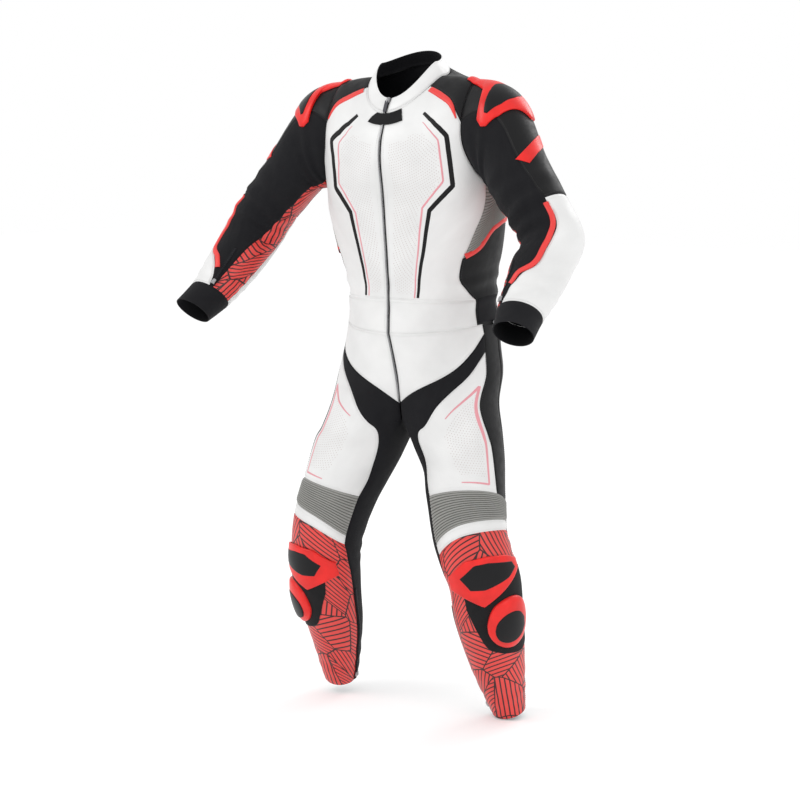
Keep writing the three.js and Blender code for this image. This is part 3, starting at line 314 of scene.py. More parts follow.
def leg_ring(rings, k, side):
    row = row_of(rings, k)
    centres = np.stack([rings["x"], rings["y"], rings["z"]], axis=1)
    down = centres[min(k + 1, len(centres) - 1)] - centres[max(k - 1, 0)]
    down = down / np.linalg.norm(down)
    front = spun(np.array([0, -1.0, 0]), LEG_FACING)
    front = front - down * front.dot(down)
    front = front / np.linalg.norm(front)
    out = np.cross(down, front) * -side

    def at(turn):
        angle = np.radians(turn)[:, None]
        return centres[k] + out * row["wide"] * np.sin(angle) + front * row["deep"] * np.cos(angle)

    return at


def leg_surface(name):
    side = 1 if name == "L" else -1
    rounds = [leg_ring(LEGS[name], k, side) for k in range(len(LEGS[name]["z"]))]
    rings = [hip_ring(k, side) for k in range(3)] + [fork_ring(k, side) for k in range(2)] + rounds
    crotch = 4

    def eased(turn):
        middle = np.minimum(np.abs((turn - INNER_TO) / (OUTER_SPAN / 2) - 1), 1) ** 6
        return rounds[0](turn) + (rings[crotch](turn) - rounds[0](turn)) * middle[:, None]

    upper = rings[: crotch + 1] + [eased]

    def at(turn, level):
        turn = np.where(turn < INNER_FROM, turn + 360, turn)
        above = through(upper, turn, np.minimum(level, crotch))
        below = through(rings, turn, np.maximum(level, crotch))
        return np.where((level < crotch)[:, None], above, below)

    return at


# %% [markdown]
# A panel needs to know which way is out, so each surface is kept with a hand. The folds that
# belong to a surface are kept with it too: a fold that crosses a seam then carries on in the
# next panel. Leather is stiff, so the folds are few, soft and only where the body bends.
# %% Soft folds
def bell(value, middle, width):
    return np.exp(-(((value - middle) / width) ** 2))


def about(turn, middle, width):
    """A bell round the ring, the same for a turn and for a turn a full round further."""
    return bell((turn - middle + 180) % 360 - 180, 0, width)


def torso_folds(turn, level):
    side = np.abs(sine(turn))
    slack = 2.8 * bell(level, 10.4, 1.1) * (0.25 + 0.75 * side**2)
    waves = np.sin(6.0 * level + 1.6 * cosine(turn * 3))
    pull = 1.6 * bell(level, 5.6, 1.3) * bell(np.abs(turn), 62, 16)
    folds = slack * waves + pull * np.sin(0.16 * np.abs(turn) + 2.4 * level)
    return folds * np.clip((12 - level) / 0.8, 0, 1)


def sleeve_folds(turn, level):
    swirl = sine(turn)
    elbow = 4.6 * bell(level, 4.1, 0.9) * about(turn, 105, 70) * np.sin(11 * level + 1.5 * swirl)
    pit = 2.4 * bell(level, 1.1, 0.8) * about(turn, 120, 45) * np.sin(8 * level - 2.2 * swirl)
    wrist = 1.0 * bell(level, 7.2, 0.7) * np.sin(12 * level + 1.1 * swirl)
    sag = 1.2 * bell(level, 2.6, 1.4) * np.sin(2.1 * level + 2.3 * swirl)
    return (elbow + pit + wrist + sag) * np.clip(level / 0.5, 0, 1)


def leg_folds(turn, level):
    swirl = sine(turn)
    crotch = 2.4 * bell(level, 4.6, 0.9) * about(turn, -65, 45) * np.sin(5 * level + 3 * swirl)
    hip = 1.8 * bell(level, 3.0, 1.0) * about(turn, -5, 40) * np.sin(4.2 * level + 3.4 * swirl)
    knee = 4.8 * bell(level, 7.9, 1.1) * about(turn, 185, 55) * np.sin(7.5 * level + 0.6 * swirl)
    ankle = 0.9 * bell(level, 12.4, 0.9) * np.sin(9 * level + 1.7 * swirl)
    return knee + hip + crotch * np.clip(np.abs(level - 4) / 0.6, 0, 1) + ankle


def surface(at, hand, folds, mirror=False):
    """A surface that can be read on the wearer's left, or mirrored to the right."""
    if not mirror:
        return {"at": at, "hand": hand, "folds": folds}
    return {"at": lambda t, s: at(t, s) * (-1, 1, 1), "hand": -hand, "folds": folds}


def no_folds(turn, level):
    return 0 * turn


BODY = {s: surface(torso, 1, torso_folds, s == "R") for s in "LR"}
ARM = {s: surface(sleeve, -1, sleeve_folds, s == "R") for s in "LR"}
NECK = surface(collar, -1, no_folds)
LEG = {
    "L": surface(leg_surface("L"), 1, leg_folds),
    "R": surface(leg_surface("R"), -1, leg_folds),
}

# %% [markdown]
# The seams are lines of places, cut into equal steps. FINE cuts each of the solid model's steps
# into smaller ones. Both panels of a seam read the same line, so they meet along all of it.
# PLACE_SIZE is about how many millimetres a degree of turn and a level are.
# %% Lines of places
FINE = 4
PLACE_SIZE = (2, 50)
FINE_READING = 401


def lengths(points):
    """How far each point of a line is along it."""
    steps = np.linalg.norm(np.diff(points, axis=0), axis=1)
    return np.concatenate([[0], np.cumsum(steps)])


def read_at(at, known, values):
    """Each column of some values, read between the places where it is known."""
    return np.stack([np.interp(at, known, column) for column in values.T], axis=1)


def run(start, end, count=1):
    share = np.linspace(0, 1, count * FINE + 1)[:, None]
    return np.array(start, float) * (1 - share) + np.array(end, float) * share


def join(*lines):
    return np.concatenate([line if k == 0 else line[1:] for k, line in enumerate(lines)])


def curve(count, *places):
    """A smooth line through a few places, in equal steps."""
    knots = np.array(places, float) * PLACE_SIZE

    def at(share):
        picks, rest = neighbours(share * (len(knots) - 1), len(knots))
        return smooth(*(knots[p] for p in picks), rest[:, None])

    fine = np.linspace(0, 1, FINE_READING)
    length = lengths(at(fine))
    even = np.interp(np.linspace(0, length[-1], count * FINE + 1), length, fine)
    return at(even) / PLACE_SIZE


def armhole_run(start, end, count):
    return np.stack(armhole_spot(run((start, 0), (end, 0), count)[:, 0]), axis=1)


def levels_of(start, end, count):
    return run((0, start), (0, end), count)[:, 1]


def beside_zip(rings, levels, to_turn=lambda turn: turn):
    last = len(rings["half"]) - 1
    turns = turn_at(ring_at(rings, np.minimum(levels, last)), ZIP_HALF)
    return np.stack([to_turn(turns), levels], axis=1)


def mirrored_over(middle, line):
    return np.stack([2 * middle - line[:, 0], line[:, 1]], axis=1)


# %% [markdown]
# The pattern of the jacket body: neck, yoke, armhole, the ribbed stretch panel under the arm,
# the hem band and the waist seam.
# %% Jacket seams
SLEEVE_BACK, YOKE_BACK, CHEST_TOP = -155, -55, 70
UNDER_FRONT, UNDER_BACK = 161.7, 205
NECK_FRONT, NECK_BACK = 64, 135
WAIST_POINT = (57, 8.4)
HEM_CORNER = (75, 10.75)
chest_levels = np.concatenate([
    levels_of(0, 2.8, 3),
    levels_of(2.8, 4.95, 4)[1:],
    levels_of(4.95, 8.4, 4)[1:],
    levels_of(8.4, 10.6, 3)[1:],
])
chest_zip = beside_zip(TORSO, chest_levels)
hem_zip = beside_zip(TORSO, levels_of(10.6, 12, 2))
collar_zip = beside_zip(COLLAR, levels_of(0, 2, 3))
neck_front = run(chest_zip[0], (NECK_FRONT, 0), 6)
neck_side = run((NECK_FRONT, 0), (NECK_BACK, 0), 5)
neck_back = run((NECK_BACK, 0), (360 - NECK_BACK, 0), 10)
yoke_front = curve(3, (NECK_FRONT, 0), (61.5, 1), (58, 2.2), armhole_spot(CHEST_TOP))
yoke_back = curve(3, (NECK_BACK, 0), (127, 1.6), armhole_spot(YOKE_BACK))
chest_armhole = armhole_run(CHEST_TOP, UNDER_FRONT, 4)
yoke_armhole = armhole_run(CHEST_TOP, YOKE_BACK, 5)
under_armhole = armhole_run(UNDER_FRONT, UNDER_BACK, 4)
back_armhole = armhole_run(YOKE_BACK, SLEEVE_BACK, 4)
stretch_front = curve(4, armhole_spot(UNDER_FRONT), (77, 5.7), (71, 6.5), (64, 7.35), WAIST_POINT)
lower_front = curve(3, WAIST_POINT, (56.5, 9.1), (58, 9.8), (68, 10.4), HEM_CORNER)
hem_side = run(HEM_CORNER, (75, 12), 2)
stretch_foot = curve(4, WAIST_POINT, (72, 7.8), (84, 7.1), (97, 6.7), (112, 6.6))
stretch_rear = curve(4, armhole_spot(UNDER_BACK), (109, 5.7), (112, 6.6))
lower_rear = run((112, 6.6), (112, 12), 5)
waist_front = run(hem_zip[-1], (75, 12), 6)
waist_side = join(
    run((75, 12), (81, 12), 1), run((81, 12), (104, 12), 2), run((104, 12), (112, 12), 1)
)
waist_back = run((112, 12), (180, 12), 5)
hem_top = run(chest_zip[-1], HEM_CORNER, 6)

# %% [markdown]
# The sleeve is cut in four: the outer upper sleeve, the forearm that wraps its end, the stretch
# panel in front and the printed panel underneath. The cuff closes it.
# %% Sleeve seams
ELBOW, WRIST = 4, 8
ELBOW_FRONT = (42, ELBOW + 0.15)
arm_top = run((SLEEVE_BACK, 0), (CHEST_TOP, 0), 9)
arm_front_top = run((CHEST_TOP, 0), (UNDER_FRONT, 0), 4)
arm_under_top = run((UNDER_FRONT, 0), (UNDER_BACK, 0), 4)
back_upper = run((SLEEVE_BACK, 0), (SLEEVE_BACK, ELBOW), 8)
back_lower = run((SLEEVE_BACK, ELBOW), (SLEEVE_BACK, WRIST), 8)
elbow = run((SLEEVE_BACK, ELBOW), ELBOW_FRONT, 9)
upper_front = curve(8, (CHEST_TOP, 0), (60, 1), (55, 2.65), (49, 3.5), ELBOW_FRONT)
fore_front = curve(
    8, ELBOW_FRONT, (47, 4.71), (60, 5.34), (66, 6.37), (91, 6.85), (111, 7.36), (124, WRIST)
)
arm_under = curve(
    16, (UNDER_FRONT, 0), (165, 2), (158, 4), (150, 5), (146, 6), (140, 7), (136, WRIST)
)
wrist_outer = run((SLEEVE_BACK, WRIST), (124, WRIST), 9)
wrist_front = run((124, WRIST), (136, WRIST), 4)
wrist_under = run((136, WRIST), (UNDER_BACK, WRIST), 4)
wrist = join(wrist_outer, wrist_front, wrist_under)

# %% [markdown]
# The trousers: a white front piece, a black stretch band that runs from the hip through the
# crotch and down the inner leg, the thigh, the outer strip, the seat, the ribbed knee and the
# printed shin.
# %% Trouser seams
FLY_END, HEM = 2.95, 14


def leg_turn(turn):
    return INNER_TO + turn * OUTER_SPAN / 180


def on_leg_waist(line):
    return np.stack([leg_turn(line[:, 0]), 0 * line[:, 0]], axis=1)


fly_edge = beside_zip(HIPS, levels_of(0, FLY_END, 3), leg_turn)
leg_waist_front, leg_waist_side = on_leg_waist(waist_front), on_leg_waist(waist_side)
STRIP_TOP = leg_waist_side[FINE]
STRIP_CORNER = (STRIP_TOP[0], 0.45)
BAND_CORNER = (71, 1.1)
front_side = run(STRIP_TOP, STRIP_CORNER, 3)
band_top = curve(7, STRIP_CORNER, (32, 1.3), (-23, 2.3), fly_edge[-1])
band_tip = run(fly_edge[-1], (INNER_TO, FLY_END), 1)
crotch_front = run((INNER_TO, FLY_END), (INNER_TO, 4), 2)
crotch = run((INNER_TO, 4), (INNER_FROM, 4), 3)
seat_middle = run((230, 0), (230, 4), 17)
seat_inner = curve(8, (230, 4), (228, 5), (215, 6), (190, 7), (150, 8), (120.5, 8.7))
seat_foot = run((116, 8.8), (120.5, 8.7), 1)
calf_rear = run((116, 8.8), (108, HEM), 7)
band_end = run(STRIP_CORNER, BAND_CORNER, 5)
band_foot = curve(
    15, BAND_CORNER, (45, 1.6), (18, 2.3), (2, 3.1), (-14, 3.7), (-31, 4.25), (-44, 4.85),
    (-50, 5.4), (-48, 6),
)
thigh_side = curve(
    14, BAND_CORNER, (63, 1.8), (58, 2.5), (60, 3.5), (64, 4.5), (69, 5.4), (73, 6.12)
)
knee_top_front = run((-48, 6), (73, 6.12), 6)
knee_top_side = run((73, 6.12), (112, 6.2), 2)
knee_inner = run((-48, 6), (-50, 7.1), 2)
knee_outer = run((112, 6.2), (112, 6.75), 2)
knee_foot = curve(8, (-50, 7.1), (-10, 6.84), (30, 6.75), (112, 6.75))
band_inner = run((-50, 7.1), (-51, 7.42), 1)
band_outer = run((112, 6.75), (112, 7.05), 1)
shin_top = curve(8, (-51, 7.42), (-10, 7.12), (30, 7.02), (112, 7.05))
shin_inner = curve(11, (-51, 7.42), (-60, 8), (-69, 9.2), (-74, 10.6), (-74, HEM))
shin_outer = run((112, 7.05), (116, 8.8), 4)
hem_front = run((-74, HEM), (108, HEM), 8)
strip_rear = join(
    run((leg_turn(104), 0), (107, 0.45), 3),
    run((107, 0.45), (104, 1.1), 1),
    curve(14, (104, 1.1), (100, 2.4), (104, 4.5), (112, 6.2)),
)


def around_leg(line):
    return line - (360, 0)


# %% [markdown]
# Materials come next. Real leather is never one flat colour: it has a fine pebble grain, a slow
# variation in tone, and a gloss that changes where it is rubbed. All patterns read the panel's
# own UV map in metres, so the grain has its true size and follows the cut of the panel.
# %% Material helpers
SLOT_OF = {}
NOISE_DETAIL = 3.0
NOISE_RANGE = (0.3, 0.7)


# A darker copy of a colour: used for random tone in leather and plastic and for the weave, and for the
# painted shade between ribs.
def darker_tone_and_shade(colour, share):
    return tuple(part * share for part in colour)


class Look:
    """A material that is being made, with short ways to add its nodes."""

    def __init__(self, name, slot=None):
        SLOT_OF[name] = slot
        self.material = bpy.data.materials.new(name)
        self.material.use_nodes = True
        self.tree = self.material.node_tree
        self.shader = self.tree.nodes["Principled BSDF"]

    def put(self, socket, value):
        """Links another node's output, or sets a number or a colour."""
        if isinstance(value, bpy.types.NodeSocket):
            self.tree.links.new(value, socket)
        else:
            socket.default_value = (*value, 1) if isinstance(value, tuple) else value

    def add(self, kind, **values):
        node = self.tree.nodes.new(f"ShaderNode{kind}")
        for key, value in values.items():
            if key in node.inputs:
                self.put(node.inputs[key], value)
            else:
                setattr(node, key, value)
        return node

    def on_panel(self):
        return self.add("UVMap", uv_map="UVMap").outputs["UV"]

    def on_object(self):
        return self.add("TexCoord").outputs["Object"]

    def painted(self, name):
        return self.add("Attribute", attribute_name=name).outputs["Fac"]

    def maths(self, operation, a, b=0.0):
        node = self.add("Math", operation=operation)
        self.put(node.inputs[0], a)
        self.put(node.inputs[1], b)
        return node.outputs[0]

    def mixed(self, share, a, b):
        """Colour a where share is 0 and colour b where it is 1."""
        node = self.add("Mix", data_type="RGBA", Factor=share)
        self.put(node.inputs[6], a)
        self.put(node.inputs[7], b)
        return node.outputs[2]

    def noise(self, place, scale):
        node = self.add("TexNoise", Vector=place, Scale=scale, Detail=NOISE_DETAIL)
        return node.outputs["Fac"]

    def spread(self, value, low, high, to_low=0, to_high=1):
        node = self.add("MapRange")
        for socket, number in zip(node.inputs, (value, low, high, to_low, to_high)):
            self.put(socket, number)
        return node.outputs["Result"]

    def bump(self, height, strength, distance):
        node = self.add("Bump", Height=height, Strength=strength, Distance=distance)
        self.shade({"Normal": node.outputs["Normal"]})

    def shade(self, values):
        for name, value in values.items():
            self.put(self.shader.inputs[name], value)
        return self.material


# %% [markdown]
# One function makes every leather. The perforated part is a mask painted on the panel's points,
# and the printed leather is hatched: patches of parallel bars, each in its own direction.
# %% Leathers
TONE_SCALE, WEAR_SCALE, PEBBLE_SCALE = 9.0, 55.0, 620.0
HOLES = {"pitch": 0.006, "row": 1.7, "radius": 0.0009, "depth": 3.0, "colour": (0.50, 0.44, 0.43)}
BARS = {"patch": 0.075, "uneven": 0.85, "pitch": 0.0102, "share": 0.3, "soft": 0.02,
        "border": 0.02, "colour": (0.02, 0.002, 0.003)}


def dots(look, place, holes):
    """1 inside a staggered grid of round holes."""
    split = look.add("SeparateXYZ", Vector=place)
    pitch, radius = holes["pitch"], holes["radius"]
    found = []
    for shift in (0.0, 0.5):
        squares = []
        for value, size in zip(split.outputs, (pitch, pitch * holes["row"])):
            cell = look.maths("ADD", look.maths("DIVIDE", value, size), shift)
            off = look.maths("SUBTRACT", look.maths("FRACT", cell), 0.5)
            off = look.maths("MULTIPLY", off, size)
            squares.append(look.maths("MULTIPLY", off, off))
        found.append(look.maths("LESS_THAN", look.maths("ADD", *squares), radius * radius))
    return look.maths("MAXIMUM", *found)


def patches(look, place, feature):
    """Flat patches with straight edges that fit together unevenly."""
    size = {"Scale": 1 / BARS["patch"], "Randomness": BARS["uneven"]}
    kinds = {"voronoi_dimensions": "2D", "feature": feature}
    return look.add("TexVoronoi", Vector=place, **size, **kinds).outputs


def hatching(look, place):
    """1 on the bars: each patch has parallel bars of its own direction and a bar round it."""
    patch = look.add("SeparateColor", Color=patches(look, place, "F1")["Color"])
    angle = look.maths("MULTIPLY", patch.outputs[0], math.pi)
    split = look.add("SeparateXYZ", Vector=place)
    across = look.maths("MULTIPLY", split.outputs[0], look.maths("COSINE", angle))
    along_it = look.maths("MULTIPLY", split.outputs[1], look.maths("SINE", angle))
    bar = look.maths("DIVIDE", look.maths("ADD", across, along_it), BARS["pitch"])
    off = look.maths("SUBTRACT", look.maths("FRACT", bar), 0.5)
    half, soft = BARS["share"] / 2, BARS["soft"]
    ink = look.spread(look.maths("ABSOLUTE", off), half - soft, half + soft, 1, 0)
    edge = patches(look, place, "DISTANCE_TO_EDGE")["Distance"]
    return look.maths("MAXIMUM", ink, look.maths("LESS_THAN", edge, BARS["border"]))


def leather(name, slot, colour, rough=0.42, gloss=0.5, perforated=False, printed=False):
    look = Look(name, slot)
    place = look.on_panel()
    slow, worn = look.noise(place, TONE_SCALE), look.noise(place, WEAR_SCALE)
    pebble = look.add("TexVoronoi", Vector=place, Scale=PEBBLE_SCALE, feature="SMOOTH_F1")
    tone = look.mixed(look.spread(slow, *NOISE_RANGE), darker_tone_and_shade(colour, 0.86), colour)
    height = look.maths("ADD", pebble.outputs["Distance"], worn)
    if printed:
        tone = look.mixed(hatching(look, place), tone, BARS["colour"])
    if perforated:
        inside = look.maths("GREATER_THAN", look.painted("perforated"), 0.5)
        punched = look.maths("MULTIPLY", dots(look, place, HOLES), inside)
        tone = look.mixed(punched, tone, HOLES["colour"])
        height = look.maths("SUBTRACT", height, look.maths("MULTIPLY", punched, HOLES["depth"]))
    look.bump(height, 0.35, 0.0006)
    return look.shade({
        "Base Color": tone,
        "Roughness": look.spread(worn, *NOISE_RANGE, rough - 0.07, rough + 0.08),
        "Specular IOR Level": gloss,
    })


WHITE = (0.75, 0.75, 0.745)
white_leather = leather("perforated white leather", "white_leather", WHITE, perforated=True)
plain_white = leather("white leather", "white_leather", WHITE)
black_leather = leather("black leather", "black_leather", (0.0058, 0.0058, 0.0066), 0.48, gloss=0.2)
printed_leather = leather("printed red leather", "red_leather", (0.74, 0.050, 0.042), printed=True)
red_leather = leather("red leather", "red_leather", (0.76, 0.035, 0.03))
pink_leather = leather("pink trim", "red_leather", (0.74, 0.30, 0.34), 0.45)
print("leathers:", len(bpy.data.materials))


# %% [markdown]
# Stretch cloth has no grain but a weave: two crossed sets of fine waves. It is matt, with a
# faint sheen at a glancing angle. The ribbed cloth is painted darker between its ribs: painted shade.
# %% Stretch cloths and lining
def stretch_cloth(name, slot, colour, pitch, sheen=0.02, ribbed=False):
    look = Look(name, slot)
    place = look.on_panel()
    threads = [
        look.add("TexWave", Vector=place, Scale=1 / pitch / 6.28, Distortion=0.4, bands_direction=way)
        for way in ("X", "Y")
    ]
    weave = look.maths("MAXIMUM", *(wave.outputs["Fac"] for wave in threads))
    slow = look.noise(place, 30.0)
    tone = look.mixed(look.maths("MULTIPLY", weave, slow), darker_tone_and_shade(colour, 0.72), colour)
    if ribbed:
        # Painted shade: the colour is darkened in the valleys between the ribs.
        rib = look.spread(look.painted("rib"), 0.2, 0.62)
        tone = look.mixed(rib, darker_tone_and_shade(colour, 0.28), tone)
    look.bump(weave, 0.5, 0.0004)
    return look.shade({
        "Base Color": tone,
        "Roughness": look.spread(slow, *NOISE_RANGE, 0.78, 0.92),
        "Specular IOR Level": 0.2,
        "Sheen Weight": sheen,
        "Sheen Roughness": 0.5,
    })


SOOT = (0.010, 0.010, 0.012)
black_stretch = stretch_cloth("black stretch cloth", "black_stretch", (0.0085, 0.0085, 0.0105), 0.0009)
grey_stretch = stretch_cloth(
    "grey stretch cloth", "grey_stretch", (0.33, 0.33, 0.31), 0.0012, 0.2, ribbed=True
)
lining = stretch_cloth("mesh lining", None, SOOT, 0.0022)
zip_tape = stretch_cloth("zip tape", "zip_tape", SOOT, 0.0007)
hook_cloth = stretch_cloth("hook and loop cloth", "black_stretch", (0.009, 0.009, 0.010), 0.0016, 0.05)


# %% [markdown]
# The guards are moulded plastic: smooth, a little glossy, with a very fine orange peel and a
# gloss that changes slowly, as wear leaves it. The zips' metal and the thread are made alike.
# %% Moulded plastic, metal and thread
def moulded(name, slot, colour, rough, metal=0.0, gloss=0.5):
    look = Look(name, slot)
    place = look.on_object()
    fine, slow = look.noise(place, 700.0), look.noise(place, 25.0)
    look.bump(fine, 0.15, 0.0003)
    return look.shade({
        "Base Color": look.mixed(look.spread(slow, 0.35, 0.65), darker_tone_and_shade(colour, 0.8), colour),
        "Roughness": look.spread(slow, *NOISE_RANGE, rough - 0.06, rough + 0.08),
        "Metallic": metal,
        "Specular IOR Level": gloss,
    })


red_guard = moulded("red moulded guard", "red_guard", (0.78, 0.014, 0.011), 0.34, gloss=0.36)
dark_guard = moulded("black moulded inlay", "red_guard", (0.005, 0.005, 0.006), 0.4, gloss=0.22)
zip_metal = moulded("zip metal", "zip_metal", (0.42, 0.42, 0.43), 0.3, metal=1.0)
dark_metal = moulded("dark zip metal", "zip_metal", (0.045, 0.045, 0.05), 0.34, metal=1.0)
THREADS = {
    "white": (0.70, 0.70, 0.69),
    "black": (0.03, 0.03, 0.032),
    "red": (0.55, 0.03, 0.025),
}
thread = {
    name: moulded(f"{name} thread", f"{name}_leather", colour, 0.7) for name, colour in THREADS.items()
}


# %% [markdown]
# A panel is a grid between its four seams. It starts as Blender's plane grid, whose points are
# then set on the surface. Close to a seam the grid has more lines, and there the leather dips
# into the seam: this groove is what makes a sewn edge read as sewn.
# %% Grids between seams
SEAM_DEPTH, SEAM_WIDTH = 1.7, 2.6
EDGE_STEPS = (1.1, 2.6, 4.6)
CLEAR_OF_EDGE = 1.6


def along(line, share):
    """A line read at shares of its steps."""
    return read_at(share * (len(line) - 1), np.arange(len(line)), line)


def between(edges, down, across):
    """Places at shares down and across four edges, as a grid."""
    top, bottom = along(edges["top"], across)[None], along(edges["bottom"], across)[None]
    left, right = along(edges["left"], down)[:, None], along(edges["right"], down)[:, None]
    d, a = down[:, None, None], across[None, :, None]
    corners = (1 - d) * ((1 - a) * top[:, :1] + a * top[:, -1:])
    corners = corners + d * ((1 - a) * bottom[:, :1] + a * bottom[:, -1:])
    return (1 - d) * top + d * bottom + (1 - a) * left + a * right - corners


def between_sides(left, right):
    """Four edges from two long ones, with straight ends."""
    ends = {"top": run(left[0], right[0]), "bottom": run(left[-1], right[-1])}
    return {"left": left, "right": right, **ends}


def on_surface(face, places):
    flat = places.reshape(-1, 2)
    return face["at"](flat[:, 0], flat[:, 1]).reshape(*places.shape[:-1], 3)


def facing_of(face, edges):
    middle, half = len(edges["top"]) // 2, len(edges["left"]) // 2
    across = along(edges["right"], np.array([0.5]))[0] - edges["left"][half]
    down = along(edges["bottom"], np.array([0.5]))[0] - edges["top"][middle]
    return -face["hand"] * np.sign(across[0] * down[1] - across[1] * down[0])


def unit(vectors):
    return vectors / np.maximum(np.linalg.norm(vectors, axis=-1, keepdims=True), 1e-9)


def grid_normals(points, facing, closed=False):
    across = np.gradient(points, axis=1)
    if closed:
        across[:, 0] = across[:, -1] = points[:, 1] - points[:, -2]
    return unit(np.cross(across, np.gradient(points, axis=0)) * facing)


def distances(points, axis):
    """How far each point is along its row or column, and the whole length."""
    steps = np.linalg.norm(np.diff(points, axis=axis), axis=2)
    start = np.zeros_like(np.take(steps, [0], axis=axis))
    gone = np.concatenate([start, np.cumsum(steps, axis=axis)], axis=axis)
    return gone, np.take(gone, [-1], axis=axis)


def usual_size(face, edges, down, across):
    """The usual height and width between four edges."""
    points = on_surface(face, between(edges, down, across))
    return [np.median(distances(points, axis)[1]) for axis in (0, 1)]


def shares_for(count, length, steps=EDGE_STEPS):
    """Even shares, with closer ones at real distances from both ends."""
    near = np.array([0, *steps]) / length
    even = np.linspace(0, 1, count + 1)
    clear = near[-1] * CLEAR_OF_EDGE
    return np.unique(np.concatenate([near, even[(even > clear) & (even < 1 - clear)], 1 - near]))


# %% [markdown]
# With no window a mesh can still be made as by hand: the operator adds the grid, the points are
# set, and the Solidify modifier gives the leather its thickness, inwards. The inside gets the
# lining's material.
# %% From a grid to cloth
def clear_selection():
    bpy.ops.object.select_all(action="DESELECT")


def grid_mesh(name, points, uv, facing):
    rows, columns = points.shape[0] - 1, points.shape[1] - 1
    clear_selection()
    bpy.ops.mesh.primitive_grid_add(x_subdivisions=columns, y_subdivisions=rows, size=1)
    made = bpy.context.object
    made.name = made.data.name = name
    made.data.vertices.foreach_set("co", (points * MM).astype(np.float32).ravel())
    if facing < 0:
        made.data.flip_normals()
    corners = np.empty(len(made.data.loops), np.int32)
    made.data.loops.foreach_get("vertex_index", corners)
    flat = (uv * MM).reshape(-1, 2)[corners]
    made.data.uv_layers[0].name = "UVMap"
    made.data.uv_layers[0].data.foreach_set("uv", flat.astype(np.float32).ravel())
    made.data.update()
    return made


def apply(made, kind, **values):
    """Adds a modifier with some values and applies it."""
    modifier = made.modifiers.new(kind.lower(), kind)
    for key, value in values.items():
        setattr(modifier, key, value)
    bpy.ops.object.modifier_apply(modifier=modifier.name)


def give_wall(made, thickness, outside, inside, angle=60, rim_inside=False):
    made.data.materials.append(outside)
    made.data.materials.append(inside)
    apply(made, "SOLIDIFY", thickness=thickness * MM, offset=-1, material_offset=1,
          material_offset_rim=int(rim_inside))
    bpy.ops.object.shade_smooth_by_angle(angle=math.radians(angle))


def hand_over(made, material, node=None, slot=None):
    """The piece rides the suit and may stand for a solid's node. Its material and slot are not used.
    """
    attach(made, "suit")
    if node:
        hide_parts(node)
    slot or SLOT_OF[material.name]
    return made


def paint(made, name, values):
    painted = made.data.attributes.new(name, "FLOAT", "POINT")
    painted.data.foreach_set("value", values.astype(np.float32).ravel())


def merge_ends(made):
    """Joins the first and the last column of a panel that goes all the way round."""
    bpy.ops.object.mode_set(mode="EDIT")
    bpy.ops.mesh.select_all(action="SELECT")
    bpy.ops.mesh.remove_doubles(threshold=0.05 * MM)
    bpy.ops.object.mode_set(mode="OBJECT")


sewn = {}
SEAMS = ("top", "left", "right", "bottom")
RIB_STEPS, RIB_ROUND, RIB_FADE = 8, 0.8, 8


def panel(name, face, seams, material, ribs=None, mask=None, closed=False, free=(), columns=None):
    """Sews one panel and lets it stand for the node of the same name. A free edge has no groove."""
    edges = dict(zip(SEAMS, seams))
    rows = max(len(edges["left"]), len(edges["right"])) - 1
    columns = columns or max(len(edges["top"]), len(edges["bottom"])) - 1
    down, across = np.linspace(0, 1, rows + 1), np.linspace(0, 1, columns + 1)
    high, wide = usual_size(face, edges, down, across)
    down = np.linspace(0, 1, ribs["count"] * RIB_STEPS + 1) if ribs else shares_for(rows, high)
    across = across if closed else shares_for(columns, wide)
    places = between(edges, down, across)
    points = on_surface(face, places)
    facing = facing_of(face, edges)
    below, height = distances(points, 0)
    beside, width = distances(points, 1)
    to_seam = {"top": below, "bottom": height - below, "left": beside, "right": width - beside}
    if closed:
        free = (*free, "left", "right")
    edge = np.minimum.reduce([gap for side, gap in to_seam.items() if side not in free])
    groove = SEAM_DEPTH * np.exp(-((edge / SEAM_WIDTH) ** 2))
    raised = face["folds"](places[..., 0], places[..., 1]) - groove
    if ribs:
        rib = np.abs(np.sin(np.pi * ribs["count"] * down)) ** RIB_ROUND
        raised = raised + ribs["height"] * rib[:, None] * np.clip(edge / RIB_FADE, 0, 1)
    middle = len(across) // 2
    uv = np.stack([beside - beside[:, middle : middle + 1], below], axis=2)
    outward = grid_normals(points, facing, closed)
    made = grid_mesh(f"sewn_{name}", points + outward * raised[..., None], uv, facing)
    if mask is not None:
        paint(made, "perforated", mask(places))
    # The rib profile is kept on the points, where the ribbed cloth reads it to paint shade between the
    # ribs.
    if ribs:
        paint(made, "rib", rib[:, None] + 0 * edge)
    if closed:
        merge_ends(made)
    wall = STRETCH if material in (grey_stretch, black_stretch) else LEATHER
    give_wall(made, wall, material, lining, rim_inside=bool(free))
    hand_over(made, material, name)
    sewn[name] = {"face": face, "edges": edges, "high": high, "wide": wide}


# %% [markdown]
# The mask of the perforated leather is an outline in places on the surface. A point is inside
# when a line from it to one side crosses the outline an odd number of times.
# %% Outlines as masks
def inside_outline(outline):
    corners = np.array(outline, float)

    def mask(places):
        x, y = places[..., 0], places[..., 1]
        crossings = np.zeros(x.shape, int)
        for (ax, ay), (bx, by) in zip(corners, np.roll(corners, -1, axis=0)):
            over = (ay > y) != (by > y)
            reach = ax + (y - ay) * (bx - ax) / ((by - ay) or 1e-9)
            crossings += over & (x < reach)
        return crossings % 2

    return mask


